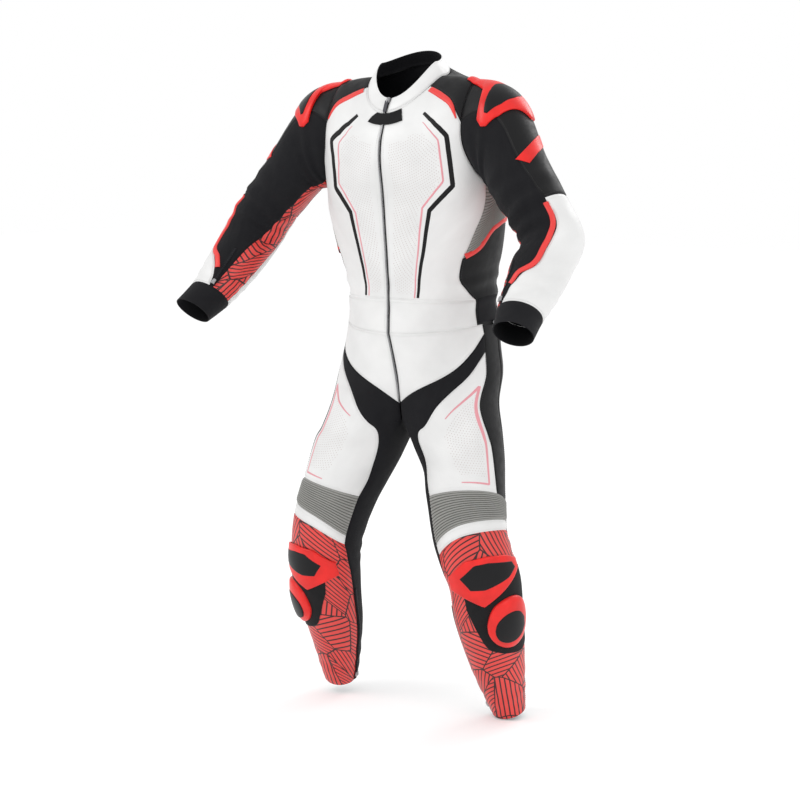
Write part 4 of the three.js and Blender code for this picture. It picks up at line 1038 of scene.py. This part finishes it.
CHEST_HOLES = {
    "L": [(4, 2.2), (26, 2.1), (37, 3.1), (37.5, 4.7), (21, 6), (19, 8.2), (18, 10.3), (4, 10.3)],
    "R": [(4, 2.2), (22, 2.1), (29, 3), (29.5, 4.8), (15.5, 6.2), (13, 9.8), (12, 10.3), (4, 10.3)],
}
THIGH_HOLES = [(14, 3.6), (34, 3.0), (49, 2.6), (51, 3.9), (53, 5.8), (12, 5.75), (2, 4.9), (4, 4.1)]

# %% [markdown]
# Now the panels are sewn. Each row is one panel: its name, its seams at the top, left, right and
# bottom, its leather, and what sets it apart. First the jacket body.
# %% Sew the jacket body
SIDE_RIBS = {"count": 24, "height": 2.4}
OPEN_END = {"free": ("bottom",)}


def sew(face, side, rows):
    for name, *seams, material, extra in rows:
        panel(f"{name}_{side}", face, seams, material, **extra)


for side in "LR":
    sew(BODY[side], side, (
        ("front", neck_front, chest_zip, join(yoke_front, chest_armhole, stretch_front, lower_front),
         hem_top, white_leather, {"mask": inside_outline(CHEST_HOLES[side])}),
        ("hem_band", hem_top, hem_zip, hem_side, waist_front, plain_white, {}),
        ("yoke", neck_side, yoke_front, yoke_back, yoke_armhole, black_leather, {}),
        ("side_stretch", under_armhole, stretch_front, stretch_rear, stretch_foot, grey_stretch,
         {"ribs": SIDE_RIBS}),
        ("lower_side", stretch_foot, join(lower_front, hem_side), lower_rear, waist_side,
         black_leather, {}),
    ))
back_side = join(yoke_back, back_armhole, stretch_rear, lower_rear)
back_foot = join(waist_back, mirrored_over(180, waist_back)[::-1])
back_seams = (neck_back, back_side, mirrored_over(180, back_side), back_foot)
panel("back", BODY["L"], back_seams, black_leather)
neck_half = join(neck_front, neck_side)
neck_round = join(neck_half, neck_back, mirrored_over(180, neck_half)[::-1])
collar_rear = mirrored_over(180, collar_zip)
rim = np.stack([neck_round[:, 0], 0 * neck_round[:, 1] + 2], axis=1)
collar_rim = np.concatenate([collar_zip[-1:], rim[1:-1], collar_rear[-1:]])
panel("collar", NECK, (neck_round, collar_zip, collar_rear, collar_rim), plain_white, **OPEN_END)
print("jacket body panels:", len(sewn))

# %% [markdown]
# The sleeves are sewn once for each side, on the surface and its mirror image.
# %% Sew the sleeves
CUFF_END = 9
back_seam = join(back_upper, back_lower)
cuff_side = run((SLEEVE_BACK, WRIST), (SLEEVE_BACK, CUFF_END), 2)
cuff_foot = np.stack([wrist[:, 0], 0 * wrist[:, 1] + CUFF_END], axis=1)
for side in "LR":
    sew(ARM[side], side, (
        ("upper_sleeve", arm_top, back_upper, upper_front, elbow, black_leather, {}),
        ("forearm", elbow, back_lower, fore_front, wrist_outer, plain_white, {}),
        ("sleeve_stretch", arm_front_top, join(upper_front, fore_front), arm_under, wrist_front,
         black_stretch, {}),
        ("under_sleeve", arm_under_top, arm_under, back_seam + (360, 0), wrist_under,
         printed_leather, {}),
        ("cuff", wrist, cuff_side, cuff_side + (360, 0), cuff_foot, black_stretch,
         {"closed": True, **OPEN_END}),
    ))
print("with sleeves:", len(sewn))

# %% [markdown]
# The trousers have ribbed panels over the knees, whose ribs let the knee bend.
# %% Sew the trousers
KNEE_RIBS = {"count": 15, "height": 2.8}
LONG_COLUMNS = {"columns": 6 * FINE}
strip_end = 3 * FINE
leg_front_top = join(leg_waist_front, leg_waist_side[: FINE + 1])
calf_inner = join(around_leg(seat_inner), around_leg(seat_foot[::-1]), around_leg(calf_rear))
stretch_hem = run((108 - 360, HEM), (-74, HEM), 5)
strip_front = join(front_side, run(STRIP_CORNER, BAND_CORNER, 1), thigh_side)
seat_top = join(leg_waist_side[strip_end:], on_leg_waist(waist_back))
for side in "LR":
    sew(LEG[side], side, (
        ("trouser_front", leg_front_top, fly_edge, front_side, band_top[::-1], plain_white, {}),
        ("inner_stretch", band_end, join(band_top, band_tip, crotch_front, crotch, calf_inner),
         join(band_foot, knee_inner, band_inner, shin_inner), stretch_hem, black_stretch, OPEN_END),
        ("thigh_front", band_foot[: FINE + 1][::-1], band_foot[FINE:], thigh_side, knee_top_front,
         white_leather, {"mask": inside_outline(THIGH_HOLES), **LONG_COLUMNS}),
        ("outer_strip", leg_waist_side[FINE : strip_end + 1], strip_front, strip_rear,
         knee_top_side, black_leather, {}),
        ("seat", seat_top, join(strip_rear, knee_outer, band_outer, shin_outer),
         join(seat_middle, seat_inner), seat_foot, black_leather, LONG_COLUMNS),
        ("knee_accordion", join(knee_top_front, knee_top_side), knee_inner, knee_outer, knee_foot,
         grey_stretch, {"ribs": KNEE_RIBS}),
        ("knee_band", knee_foot, band_inner, band_outer, shin_top, plain_white, {}),
        ("shin", shin_top, shin_inner, join(shin_outer, calf_rear), hem_front, printed_leather,
         OPEN_END),
    ))
print("with trousers:", len(sewn))

# %% [markdown]
# Some pieces lie on the panels. A strip follows a line, with rounded edges that come down onto
# the leather. A laid plate fills the space between two long edges: its rim is a quarter round,
# and a guard swells in the middle. Both follow the surface and its folds, so neither floats.
# %% Strips and plates
STRIP_SIDES = ((-0.5, -0.6), (-0.47, 0.5), (-0.3, 0.94), (0, 1), (0.3, 0.94), (0.47, 0.5), (0.5, -0.6))
STRIP_WALL, PLATE_WALL = 0.3, 1.0
RIM_STEPS = (0.12, 0.45, 1)
CROWN = 0.9
TURN_STEP, LEVEL_STEP = 0.5, 0.01


def polyline(count, *places):
    """A line with sharp corners through a few places, in even steps."""
    knots = np.array(places, float)
    length = lengths(knots * PLACE_SIZE)
    return read_at(np.linspace(0, length[-1], count + 1), length, knots)


def lifted(face, places):
    """Points of the folded surface and the directions out of it."""
    turn, level = places.reshape(-1, 2).T
    point = face["at"](turn, level)
    around = face["at"](turn + TURN_STEP, level) - point
    down = face["at"](turn, level + LEVEL_STEP) - point
    normal = unit(np.cross(around, down) * -face["hand"])
    point = point + normal * face["folds"](turn, level)[:, None]
    shape = (*places.shape[:-1], 3)
    return point.reshape(shape), normal.reshape(shape)


def flattened(points):
    """A grid's own flat places, measured along its rows and columns."""
    return np.stack([distances(points, 1)[0], distances(points, 0)[0]], axis=2)


def strip(name, face, line, width, height, material, node=None, slot=None):
    centre, normal = lifted(face, line)
    across = unit(np.cross(unit(np.gradient(centre, axis=0)), normal))
    wide = np.interp(
        np.linspace(0, 1, len(line)), np.linspace(0, 1, np.size(width)), np.atleast_1d(width)
    )
    rows = [centre + across * (share * wide)[:, None] + normal * (rise * height)
            for share, rise in STRIP_SIDES]
    points = np.stack(rows, axis=1)
    made = grid_mesh(name, points, flattened(points), 1)
    give_wall(made, STRIP_WALL, material, material, 75)
    return hand_over(made, material, node, slot)


def plate(name, face, left, right, material, lift, wall, swell, bevel, columns, node=None, slot=None):
    edges = between_sides(left, right)
    shares = np.linspace(0, 1, len(left)), np.linspace(0, 1, columns)
    high, wide = usual_size(face, edges, *shares)
    rim = [share * bevel for share in RIM_STEPS]
    down, across = shares_for(len(left) - 1, high, rim), shares_for(columns, wide, rim)
    base, normal = lifted(face, between(edges, down, across))
    below, height = distances(base, 0)
    beside, width = distances(base, 1)
    edge = np.minimum(np.minimum(below, height - below), np.minimum(beside, width - beside))
    round_rim = np.sqrt(np.clip(1 - (1 - np.minimum(edge / bevel, 1)) ** 2, 0, 1))
    d, a = down[:, None], across[None]
    crown = (16 * d * (1 - d) * a * (1 - a)) ** CROWN
    rise = lift + wall * round_rim + swell * crown
    points = base + normal * rise[..., None]
    uv = np.stack([beside, below], axis=2)
    made = grid_mesh(name, points, uv, facing_of(face, edges))
    give_wall(made, PLATE_WALL, material, material, 50)
    return hand_over(made, material, node, slot)


# %% [markdown]
# The red strips cover the yoke seam, the foot of the side stretch and the forearm seam. The
# chest and the thighs carry thin black and pink lines, sewn flat.
# %% Trim strips
PIPE_WIDTH = 11
YOKE_WIDTHS = (13, 14, 13, 9, 3)
CHEST_WIDTHS = {"L": (7, 10, 10, 10, 9, 8, 7, 6), "R": (9, 13, 13, 13, 11, 9, 8, 6)}
PINK_WIDTHS, THIGH_WIDTHS = (1.5, 4, 4, 4, 3, 3), (2, 5, 9, 6, 4, 2)
LINE_STEPS = 120
yoke_line = curve(8, (60, 0.3), (58.8, 1.1), (56.8, 2.2), (56.8, 2.7))
side_line = curve(12, (59, 8.25), (72, 7.8), (84, 7.1), (97, 6.7), (110, 6.6))
forearm_line = curve(14, (46, 4.26), (53, 4.69), (66, 5.27), (72, 6.36), (99, 6.8), (115, 7.2))
CHEST_BLACK = {
    "L": [(39, 1.22), (38.9, 1.77), (40.4, 2.27), (43.2, 2.71), (46, 3.08), (45.9, 3.65),
          (46.3, 4.32), (46.9, 5), (41.6, 5.24), (36.5, 5.52), (31.8, 5.82), (27.7, 6.12),
          (26, 7.1), (24.2, 8.46), (22, 10.5)],
    "R": [(33.5, 1.01), (32.3, 1.72), (35, 2.44), (41.9, 3.15), (37.9, 3.79), (36.7, 4.46),
          (37.3, 5.11), (31.3, 5.48), (26.4, 5.89), (22.4, 6.29), (20.6, 7.71), (18.8, 9.4),
          (18.5, 10.5)],
}
CHEST_PINK = {
    "L": [(33.5, 1.7), (34.4, 2.19), (36.4, 2.62), (38.9, 3.02), (38.8, 3.63), (39.1, 4.24),
          (39.4, 4.78), (33.4, 5.13), (27.8, 5.55), (22.8, 5.99), (21.5, 7.1), (20.7, 8.59),
          (19.4, 10.5)],
    "R": [(27.8, 1.67), (28.1, 2.3), (31.4, 2.93), (29.8, 3.96), (32, 4.89), (26.4, 5.34),
          (21.8, 5.84), (17.9, 6.32), (16.8, 8.04), (15.4, 9.94), (15.2, 10.5)],
}
THIGH_PINK = {
    "L": [(13.6, 3.35), (32, 2.85), (51, 2.3), (54, 3.8), (56.5, 5.0), (57.5, 5.93), (16, 5.88)],
    "R": [(7.7, 3.45), (32, 3.0), (47, 2.5), (52, 3.8), (54, 5.0), (54, 5.93), (15, 5.9)],
}
for side in "LR":
    for name, face, line, width, height, material, *node_and_slot in (
        (f"yoke_trim_{side}", BODY, yoke_line, YOKE_WIDTHS, 1.9, red_leather,
         f"yoke_strip_{side}", "red_guard"),
        (f"side_trim_{side}", BODY, side_line, PIPE_WIDTH, 3.0, red_leather, f"side_strip_{side}"),
        (f"forearm_trim_{side}", ARM, forearm_line, PIPE_WIDTH, 2.4, red_leather,
         f"forearm_piping_{side}"),
        (f"chest_line_black_{side}", BODY, polyline(LINE_STEPS, *CHEST_BLACK[side]),
         CHEST_WIDTHS[side], 0.5, black_leather),
        (f"chest_line_pink_{side}", BODY, polyline(LINE_STEPS, *CHEST_PINK[side]), PINK_WIDTHS,
         0.4, pink_leather),
        (f"thigh_line_pink_{side}", LEG, polyline(LINE_STEPS, *THIGH_PINK[side]), THIGH_WIDTHS,
         0.5, pink_leather),
    ):
        strip(name, face[side], line, width, height, material, *node_and_slot)

# %% [markdown]
# The guards are moulded plates over the shoulder and the knee: a red frame with a black inlay
# sunk into it, which is left plain. The knee puck stands on a black field of hook cloth. Each
# row names a plate and the solid's node that it stands for, gives its two long edges, and ends
# with its lift, wall, swell and rim in millimetres and the columns of its grid.
# %% Guards
def lay(*rows):
    for side in "LR":
        for name, node, face, draw, steps, left, right, material, *sizes in rows:
            left, right = draw(steps, *left), draw(steps, *right)
            node = node and f"{node}_{side}"
            plate(f"{name}_{side}", face[side], left, right, material, *sizes, node)


lay(
    ("shoulder_frame", "shoulder_cup", ARM, polyline, 44,
     [(-4, -0.27), (-22, 0.35), (-38, 0.8), (-48, 1.05), (-52, 1.35), (-48, 1.7), (-38, 2.0),
      (-22, 2.28)],
     [(9, -0.27), (16, 0.29), (29, 0.76), (50, 0.86), (73, 0.94), (78, 1.2), (75, 1.45),
      (52, 1.82), (14, 2.1), (-8, 2.3)],
     red_guard, 0.8, 3.8, 3.2, 3.6, 40),
    ("shoulder_inlay", None, ARM, polyline, 30,
     [(27, 1.02), (12, 0.98), (-2, 1.05), (-10, 1.25), (-13, 1.5), (-12, 1.68)],
     [(32, 1.06), (50, 1.12), (62, 1.22), (61, 1.38), (40, 1.68), (16, 1.8), (-6, 1.78)],
     dark_guard, 5.2, 2.4, 1.4, 3, 30),
    ("sleeve_flash", "sleeve_bar", ARM, polyline, 32,
     [(-45, 2.45), (30, 2.8), (58, 2.93)], [(-45, 2.68), (14, 2.98), (38, 3.16)],
     red_guard, 0.2, 1.4, 0.0, 1.2, 8),
    ("knee_frame", "knee_badge", LEG, polyline, 40,
     [(-38, 8.15), (0, 7.76), (36, 7.8), (70, 7.98), (95, 8.26)],
     [(-44, 8.8), (-20, 9.02), (12.5, 9.32), (50, 9), (90, 8.62)],
     red_guard, 1.8, 3.6, 0.0, 3, 20),
    ("knee_inlay", None, LEG, polyline, 30,
     [(-15, 8.28), (13, 7.95), (34, 8.0), (76, 8.28)],
     [(-4, 8.78), (18, 8.84), (60, 8.71), (80, 8.52)],
     dark_guard, 4.6, 1.6, 0.0, 2, 18),
    ("knee_hook_field", "knee_field", LEG, curve, 10,
     [(-20, 8.92), (-4, 9.06), (8, 9.12), (26, 9), (48, 8.84), (76, 8.62), (101, 8.56)],
     [(-18, 9.4), (-4, 9.95), (8, 10.42), (26, 10.62), (48, 10.76), (76, 10.9), (101, 10.8)],
     hook_cloth, 0.6, 1.5, 0.0, 1.5, 24),
    ("knee_puck", "knee_slider", LEG, curve, 10,
     [(14, 9.8), (18, 9.58), (26, 9.38), (40, 9.26), (58, 9.24), (76, 9.34), (87, 9.55), (92, 9.8)],
     [(14, 9.95), (18, 10.15), (26, 10.34), (40, 10.5), (58, 10.54), (76, 10.42), (87, 10.2),
      (92, 9.95)],
     red_guard, 2.0, 6, 8, 5, 24),
    ("knee_puck_disc", None, LEG, curve, 8,
     [(25, 9.9), (29, 9.71), (40, 9.57), (54, 9.54), (67, 9.63), (76, 9.84)],
     [(25, 9.99), (29, 10.16), (40, 10.29), (54, 10.31), (67, 10.22), (76, 10.02)],
     dark_guard, 12.2, 2.6, 2.0, 2, 16),
)

# %% [markdown]
# A patch of elastic draws the jacket's waist in at each side, and a tab of hook cloth crosses
# the throat over the end of the zip. Both are sewn on flat, so they are plates with no swell.
# %% Waist elastic and throat tab
lay((
    "waist_elastic", None, BODY, polyline, 24,
    [(76.5, 10.72), (90, 10.62), (104, 10.6)], [(76.5, 11.86), (90, 11.86), (104, 11.86)],
    black_stretch, 0.1, 1.5, 0.0, 1.4, 24,
))
tab_left = polyline(12, (-11, 0.2), (-16, 0.55), (-17.5, 0.9))
tab_right = polyline(12, (24, 0.2), (22, 0.55), (20.5, 0.9))
plate("throat_flap", BODY["L"], tab_left, tab_right, hook_cloth, 1.2, 2.2, 0.0, 1.2, 30,
      "throat_tab", "black_leather")

# %% [markdown]
# Zip teeth and stitches repeat hundreds of times. One is modelled as by hand, with only a few
# dozen faces, and its points are copied along a line into one mesh.
# %% Repeat a small shape along a line
def model_points(made):
    points = np.array([v.co[:] for v in made.data.vertices])
    faces = [tuple(p.vertices) for p in made.data.polygons]
    bpy.data.objects.remove(made)
    return points, faces


def repeated(name, model, centres, forward, out, material):
    points, faces = model
    sideways = unit(np.cross(forward, out))
    frames = np.stack([forward, sideways, out], axis=1)
    placed = centres[:, None] * MM + np.einsum("vk,nkx->nvx", points, frames)
    count = len(points)
    corners = [tuple(i + n * count for i in face) for n in range(len(centres)) for face in faces]
    mesh = bpy.data.meshes.new(name)
    mesh.from_pydata(placed.reshape(-1, 3), [], corners)
    made = bpy.data.objects.new(name, mesh)
    scene.collection.objects.link(made)
    mesh.materials.append(material)
    return hand_over(made, material)


def even_along(points, normals, pitch):
    """Places at an even pitch along a line of points, with the way forward and out."""
    length = lengths(points)
    at = np.arange(pitch / 2, length[-1], pitch)
    forward = read_at(at, length, np.gradient(points, axis=0))
    return read_at(at, length, points), unit(forward), unit(read_at(at, length, normals))


# %% [markdown]
# A zip is two tapes with a row of teeth on each. The main zip runs from the collar to the waist
# and the fly zip goes on below it. Small zips close the cuffs and the ankles. A slider is a
# rounded block, narrower behind, with a raised bridge.
# %% Zip teeth and sliders
TOOTH, TOOTH_ROUND = (0.0011, 0.0030, 0.0016), 0.00025
TOOTH_PITCH, TOOTH_SWING = 1.25, 0.75
SLIDER, SLIDER_ROUND = (0.012, 0.009, 0.004), 0.0006
BRIDGE_INSET, BRIDGE_RISE, SLIDER_TAPER = 0.0022, 0.0014, 0.7
SLIDER_LIFT, TAPE_RISE = 1.4, 0.9


def cube(size):
    clear_selection()
    bpy.ops.mesh.primitive_cube_add(size=1, scale=size)
    bpy.ops.object.transform_apply(scale=True)
    return bpy.context.object


def tooth_model():
    tooth = cube(TOOTH)
    apply(tooth, "BEVEL", width=TOOTH_ROUND, segments=1)
    return model_points(tooth)


def slider_model():
    block = cube(SLIDER)
    bpy.ops.object.mode_set(mode="EDIT")
    bpy.ops.mesh.select_all(action="DESELECT")
    bpy.ops.object.mode_set(mode="OBJECT")
    for polygon in block.data.polygons:
        polygon.select = polygon.normal.z > 0.5
    bpy.ops.object.mode_set(mode="EDIT")
    bpy.ops.mesh.inset(thickness=BRIDGE_INSET)
    bpy.ops.mesh.extrude_region_move(TRANSFORM_OT_translate={"value": (0, 0, BRIDGE_RISE)})
    bpy.ops.mesh.select_all(action="DESELECT")
    bpy.ops.object.mode_set(mode="OBJECT")
    for vertex in block.data.vertices:
        if vertex.co.x < 0:
            vertex.co.y *= SLIDER_TAPER
    apply(block, "BEVEL", width=SLIDER_ROUND, segments=2)
    return model_points(block)


tooth, slider = tooth_model(), slider_model()


def zip_line(name, face, line, height, slider_at=None, tape_width=None):
    """A row of teeth that swing to both sides of a line, its tape and its slider."""
    points, normals = lifted(face, line)
    centres, forward, out = even_along(points, normals, TOOTH_PITCH)
    swing = np.where(np.arange(len(centres)) % 2, TOOTH_SWING, -TOOTH_SWING)[:, None]
    centres = centres + unit(np.cross(forward, out)) * swing + out * height
    metal = dark_metal if tape_width else zip_metal
    repeated(f"{name}_teeth", tooth, centres, forward, out, metal)
    if tape_width:
        strip(f"{name}_tape", face, line, tape_width, TAPE_RISE, zip_tape)
    if slider_at is not None:
        step = int(slider_at * (len(line) - 1))
        here = slice(step, step + 1)
        ahead, out = unit(np.gradient(points, axis=0))[here], normals[here]
        centre = points[here] + out * (height + SLIDER_LIFT)
        repeated(f"{name}_slider", slider, centre, ahead, out, zip_metal)


# %% [markdown]
# The two long zips lie on the middle of the suit: collar and chest in front, then both hips.
# Their tapes are sheets between the edges of the two panels that they join.
# %% Zips
ZIP_STEPS, TAPE_COLUMNS, TAPE_LIFT, TAPE_WALL = 420, 5, 0.3, 1.2


def centre_line(turn, level):
    on_collar, on_chest = collar(turn, np.maximum(-level, 0)), torso(turn, np.maximum(level, 0))
    return np.where((level < 0)[:, None], on_collar, on_chest)


def fly_surface(turn, level):
    left = LEG["L"]["at"](np.maximum(turn, INNER_TO), level)
    right = LEG["R"]["at"](np.maximum(2 * INNER_TO - turn, INNER_TO), level)
    return np.where((turn >= INNER_TO)[:, None], left, right)


FRONT, FLY = surface(centre_line, 1, no_folds), surface(fly_surface, 1, no_folds)
zip_edge = join(collar_zip[::-1] * (1, -1), chest_zip, hem_zip)
for name, face, left, right, middle, height, slider_at in (
    ("main_zip", FRONT, zip_edge * (-1, 1), zip_edge, 0, 1.3, 0.04),
    ("fly_zip", FLY, mirrored_over(INNER_TO, fly_edge), fly_edge, INNER_TO, 1.0, None),
):
    levels = np.linspace(left[0][1], left[-1][1], ZIP_STEPS)
    line = np.stack([0 * levels + middle, levels], axis=1)
    zip_line(name, face, line, height, slider_at)
    edges = between_sides(left, right)
    shares = np.linspace(0, 1, len(left)), np.linspace(0, 1, TAPE_COLUMNS)
    points = on_surface(face, between(edges, *shares))
    raised = points + grid_normals(points, facing_of(face, edges)) * TAPE_LIFT
    tape = grid_mesh(f"{name}_tapes", raised, flattened(points), facing_of(face, edges))
    give_wall(tape, TAPE_WALL, zip_tape, lining)
    hand_over(tape, zip_tape, name)
CUFF_ZIP, ANKLE_ZIP = [(126, 6.3), (129, 7.95)], [(-76, 9.6), (-80, 11), (-80, 13.85)]
for side in "LR":
    zip_line(f"cuff_zip_{side}", ARM[side], polyline(160, *CUFF_ZIP), 1.3, 0.93, 9)
    zip_line(f"ankle_zip_{side}", LEG[side], polyline(260, *ANKLE_ZIP), 1.3, 0.86, 9)

# %% [markdown]
# Every seam has a row of stitches on each side. A stitch is a tiny spindle of thread that lies
# in the leather with both ends sunk.
# %% Topstitching
STITCH, STITCH_PITCH, STITCH_INSET, STITCH_LIFT = (0.0017, 0.00045, 0.0004), 4.6, 4.0, 0.05
SEWN_WITH = {
    "white": ("front", "hem_band", "collar", "forearm", "trouser_front", "thigh_front", "knee_band"),
    "black": ("yoke", "lower_side", "back", "upper_sleeve", "outer_strip", "seat"),
    "red": ("under_sleeve", "shin"),
}
clear_selection()
bpy.ops.mesh.primitive_uv_sphere_add(segments=4, ring_count=3, radius=1)
spindle = bpy.context.object
bpy.ops.transform.resize(value=STITCH)
bpy.ops.object.transform_apply(scale=True)
stitch = model_points(spindle)


def stitch_rows(part):
    """The four lines of places that run beside a panel's seams."""
    edges, fine = part["edges"], np.linspace(0, 1, 160)
    inset_down, inset_across = STITCH_INSET / part["high"], STITCH_INSET / part["wide"]
    down = fine[(fine > inset_down) & (fine < 1 - inset_down)]
    across = fine[(fine > inset_across) & (fine < 1 - inset_across)]
    for share in (inset_across, 1 - inset_across):
        yield between(edges, down, np.array([share]))[:, 0]
    for share in (inset_down, 1 - inset_down):
        yield between(edges, np.array([share]), across)[0]


for colour, kinds in SEWN_WITH.items():
    found = [
        even_along(*lifted(part["face"], places), STITCH_PITCH)
        for name, part in sewn.items() if name.removesuffix("_L").removesuffix("_R") in kinds
        for places in stitch_rows(part)
    ]
    centres, forward, out = (np.concatenate(parts) for parts in zip(*found))
    centres = centres + out * STITCH_LIFT
    repeated(f"stitches_{colour}", stitch, centres, forward, out, thread[colour])
    print("stitches", colour, len(centres))

# %% [markdown]
# The camera stands 36 degrees to the suit's left, a little above it and far away, as the
# photograph does. Its aim is moved sideways so that the suit sits in the frame as it does there.
# %% Camera
AZIMUTH, ELEVATION, DISTANCE = math.radians(36), math.radians(8), 4.0
AIM_HEIGHT, OFF_CENTRE = -0.65, 0.0441
PICTURE_WIDTH, SENSOR = 1.68, 36
view_back = np.array([
    math.sin(AZIMUTH) * math.cos(ELEVATION),
    -math.cos(AZIMUTH) * math.cos(ELEVATION),
    math.sin(ELEVATION),
])
view_right = np.array([math.cos(AZIMUTH), math.sin(AZIMUTH), 0])
target = np.array([0, 0, AIM_HEIGHT]) - view_right * OFF_CENTRE
clear_selection()
bpy.ops.object.camera_add(
    location=tuple(target + view_back * DISTANCE),
    rotation=(math.pi / 2 - ELEVATION, 0, AZIMUTH),
)
camera = bpy.context.object
camera.data.sensor_width = SENSOR
camera.data.lens = SENSOR * DISTANCE / PICTURE_WIDTH
scene.camera = camera

# %% [markdown]
# Soft studio light: a large key from the front left, a fill from the right and a light from
# behind that draws the black leather's outline, over a pale floor and a pale world. The floor
# lies just under the hems and glows a little, so that it stays nearly white.
# %% Floor and lights
FLOOR_GAP, FLOOR_SIZE, FLOOR_GLOW = 0.002, 30, 0.14
PALE, PURE_WHITE = (0.88, 0.88, 0.88), (1, 1, 1, 1)
clear_selection()
bpy.ops.mesh.primitive_plane_add(size=FLOOR_SIZE, location=(0, 0, solid_box[0][2] - FLOOR_GAP))
floor = bpy.context.object
floor.name = "floor"
floor.data.materials.append(Look("pale floor").shade({
    "Base Color": PALE,
    "Roughness": 0.9,
    "Emission Color": PURE_WHITE[:3],
    "Emission Strength": FLOOR_GLOW,
}))
world = bpy.data.worlds.new("studio")
world.use_nodes = True
world.node_tree.nodes["Background"].inputs["Color"].default_value = PURE_WHITE
world.node_tree.nodes["Background"].inputs["Strength"].default_value = 1.0
scene.world = world


def softbox(place, size, power):
    clear_selection()
    bpy.ops.object.light_add(type="AREA", location=place)
    lamp = bpy.context.object
    lamp.data.size = size
    lamp.data.energy = power
    aim = np.array([0, 0, AIM_HEIGHT]) - np.array(place)
    flat = math.hypot(aim[0], aim[1])
    lamp.rotation_euler = (math.atan2(flat, -aim[2]), 0, math.atan2(-aim[0], aim[1]))


softbox((-1.4, -2.4, 1.8), 1.3, 26)
softbox((3.0, -1.0, 0.7), 1.2, 12)
softbox((0.4, 2.8, 1.4), 1.4, 22)
scene.view_settings.view_transform = "Standard"

NODE_FINISH = {
    "main_zip_pull": dark_metal, "waist_zip_pull": zip_metal, "waist_zip_slider": zip_metal,
}
for name, material in NODE_FINISH.items():
    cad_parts[name].data.materials.clear()
    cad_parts[name].data.materials.append(material)
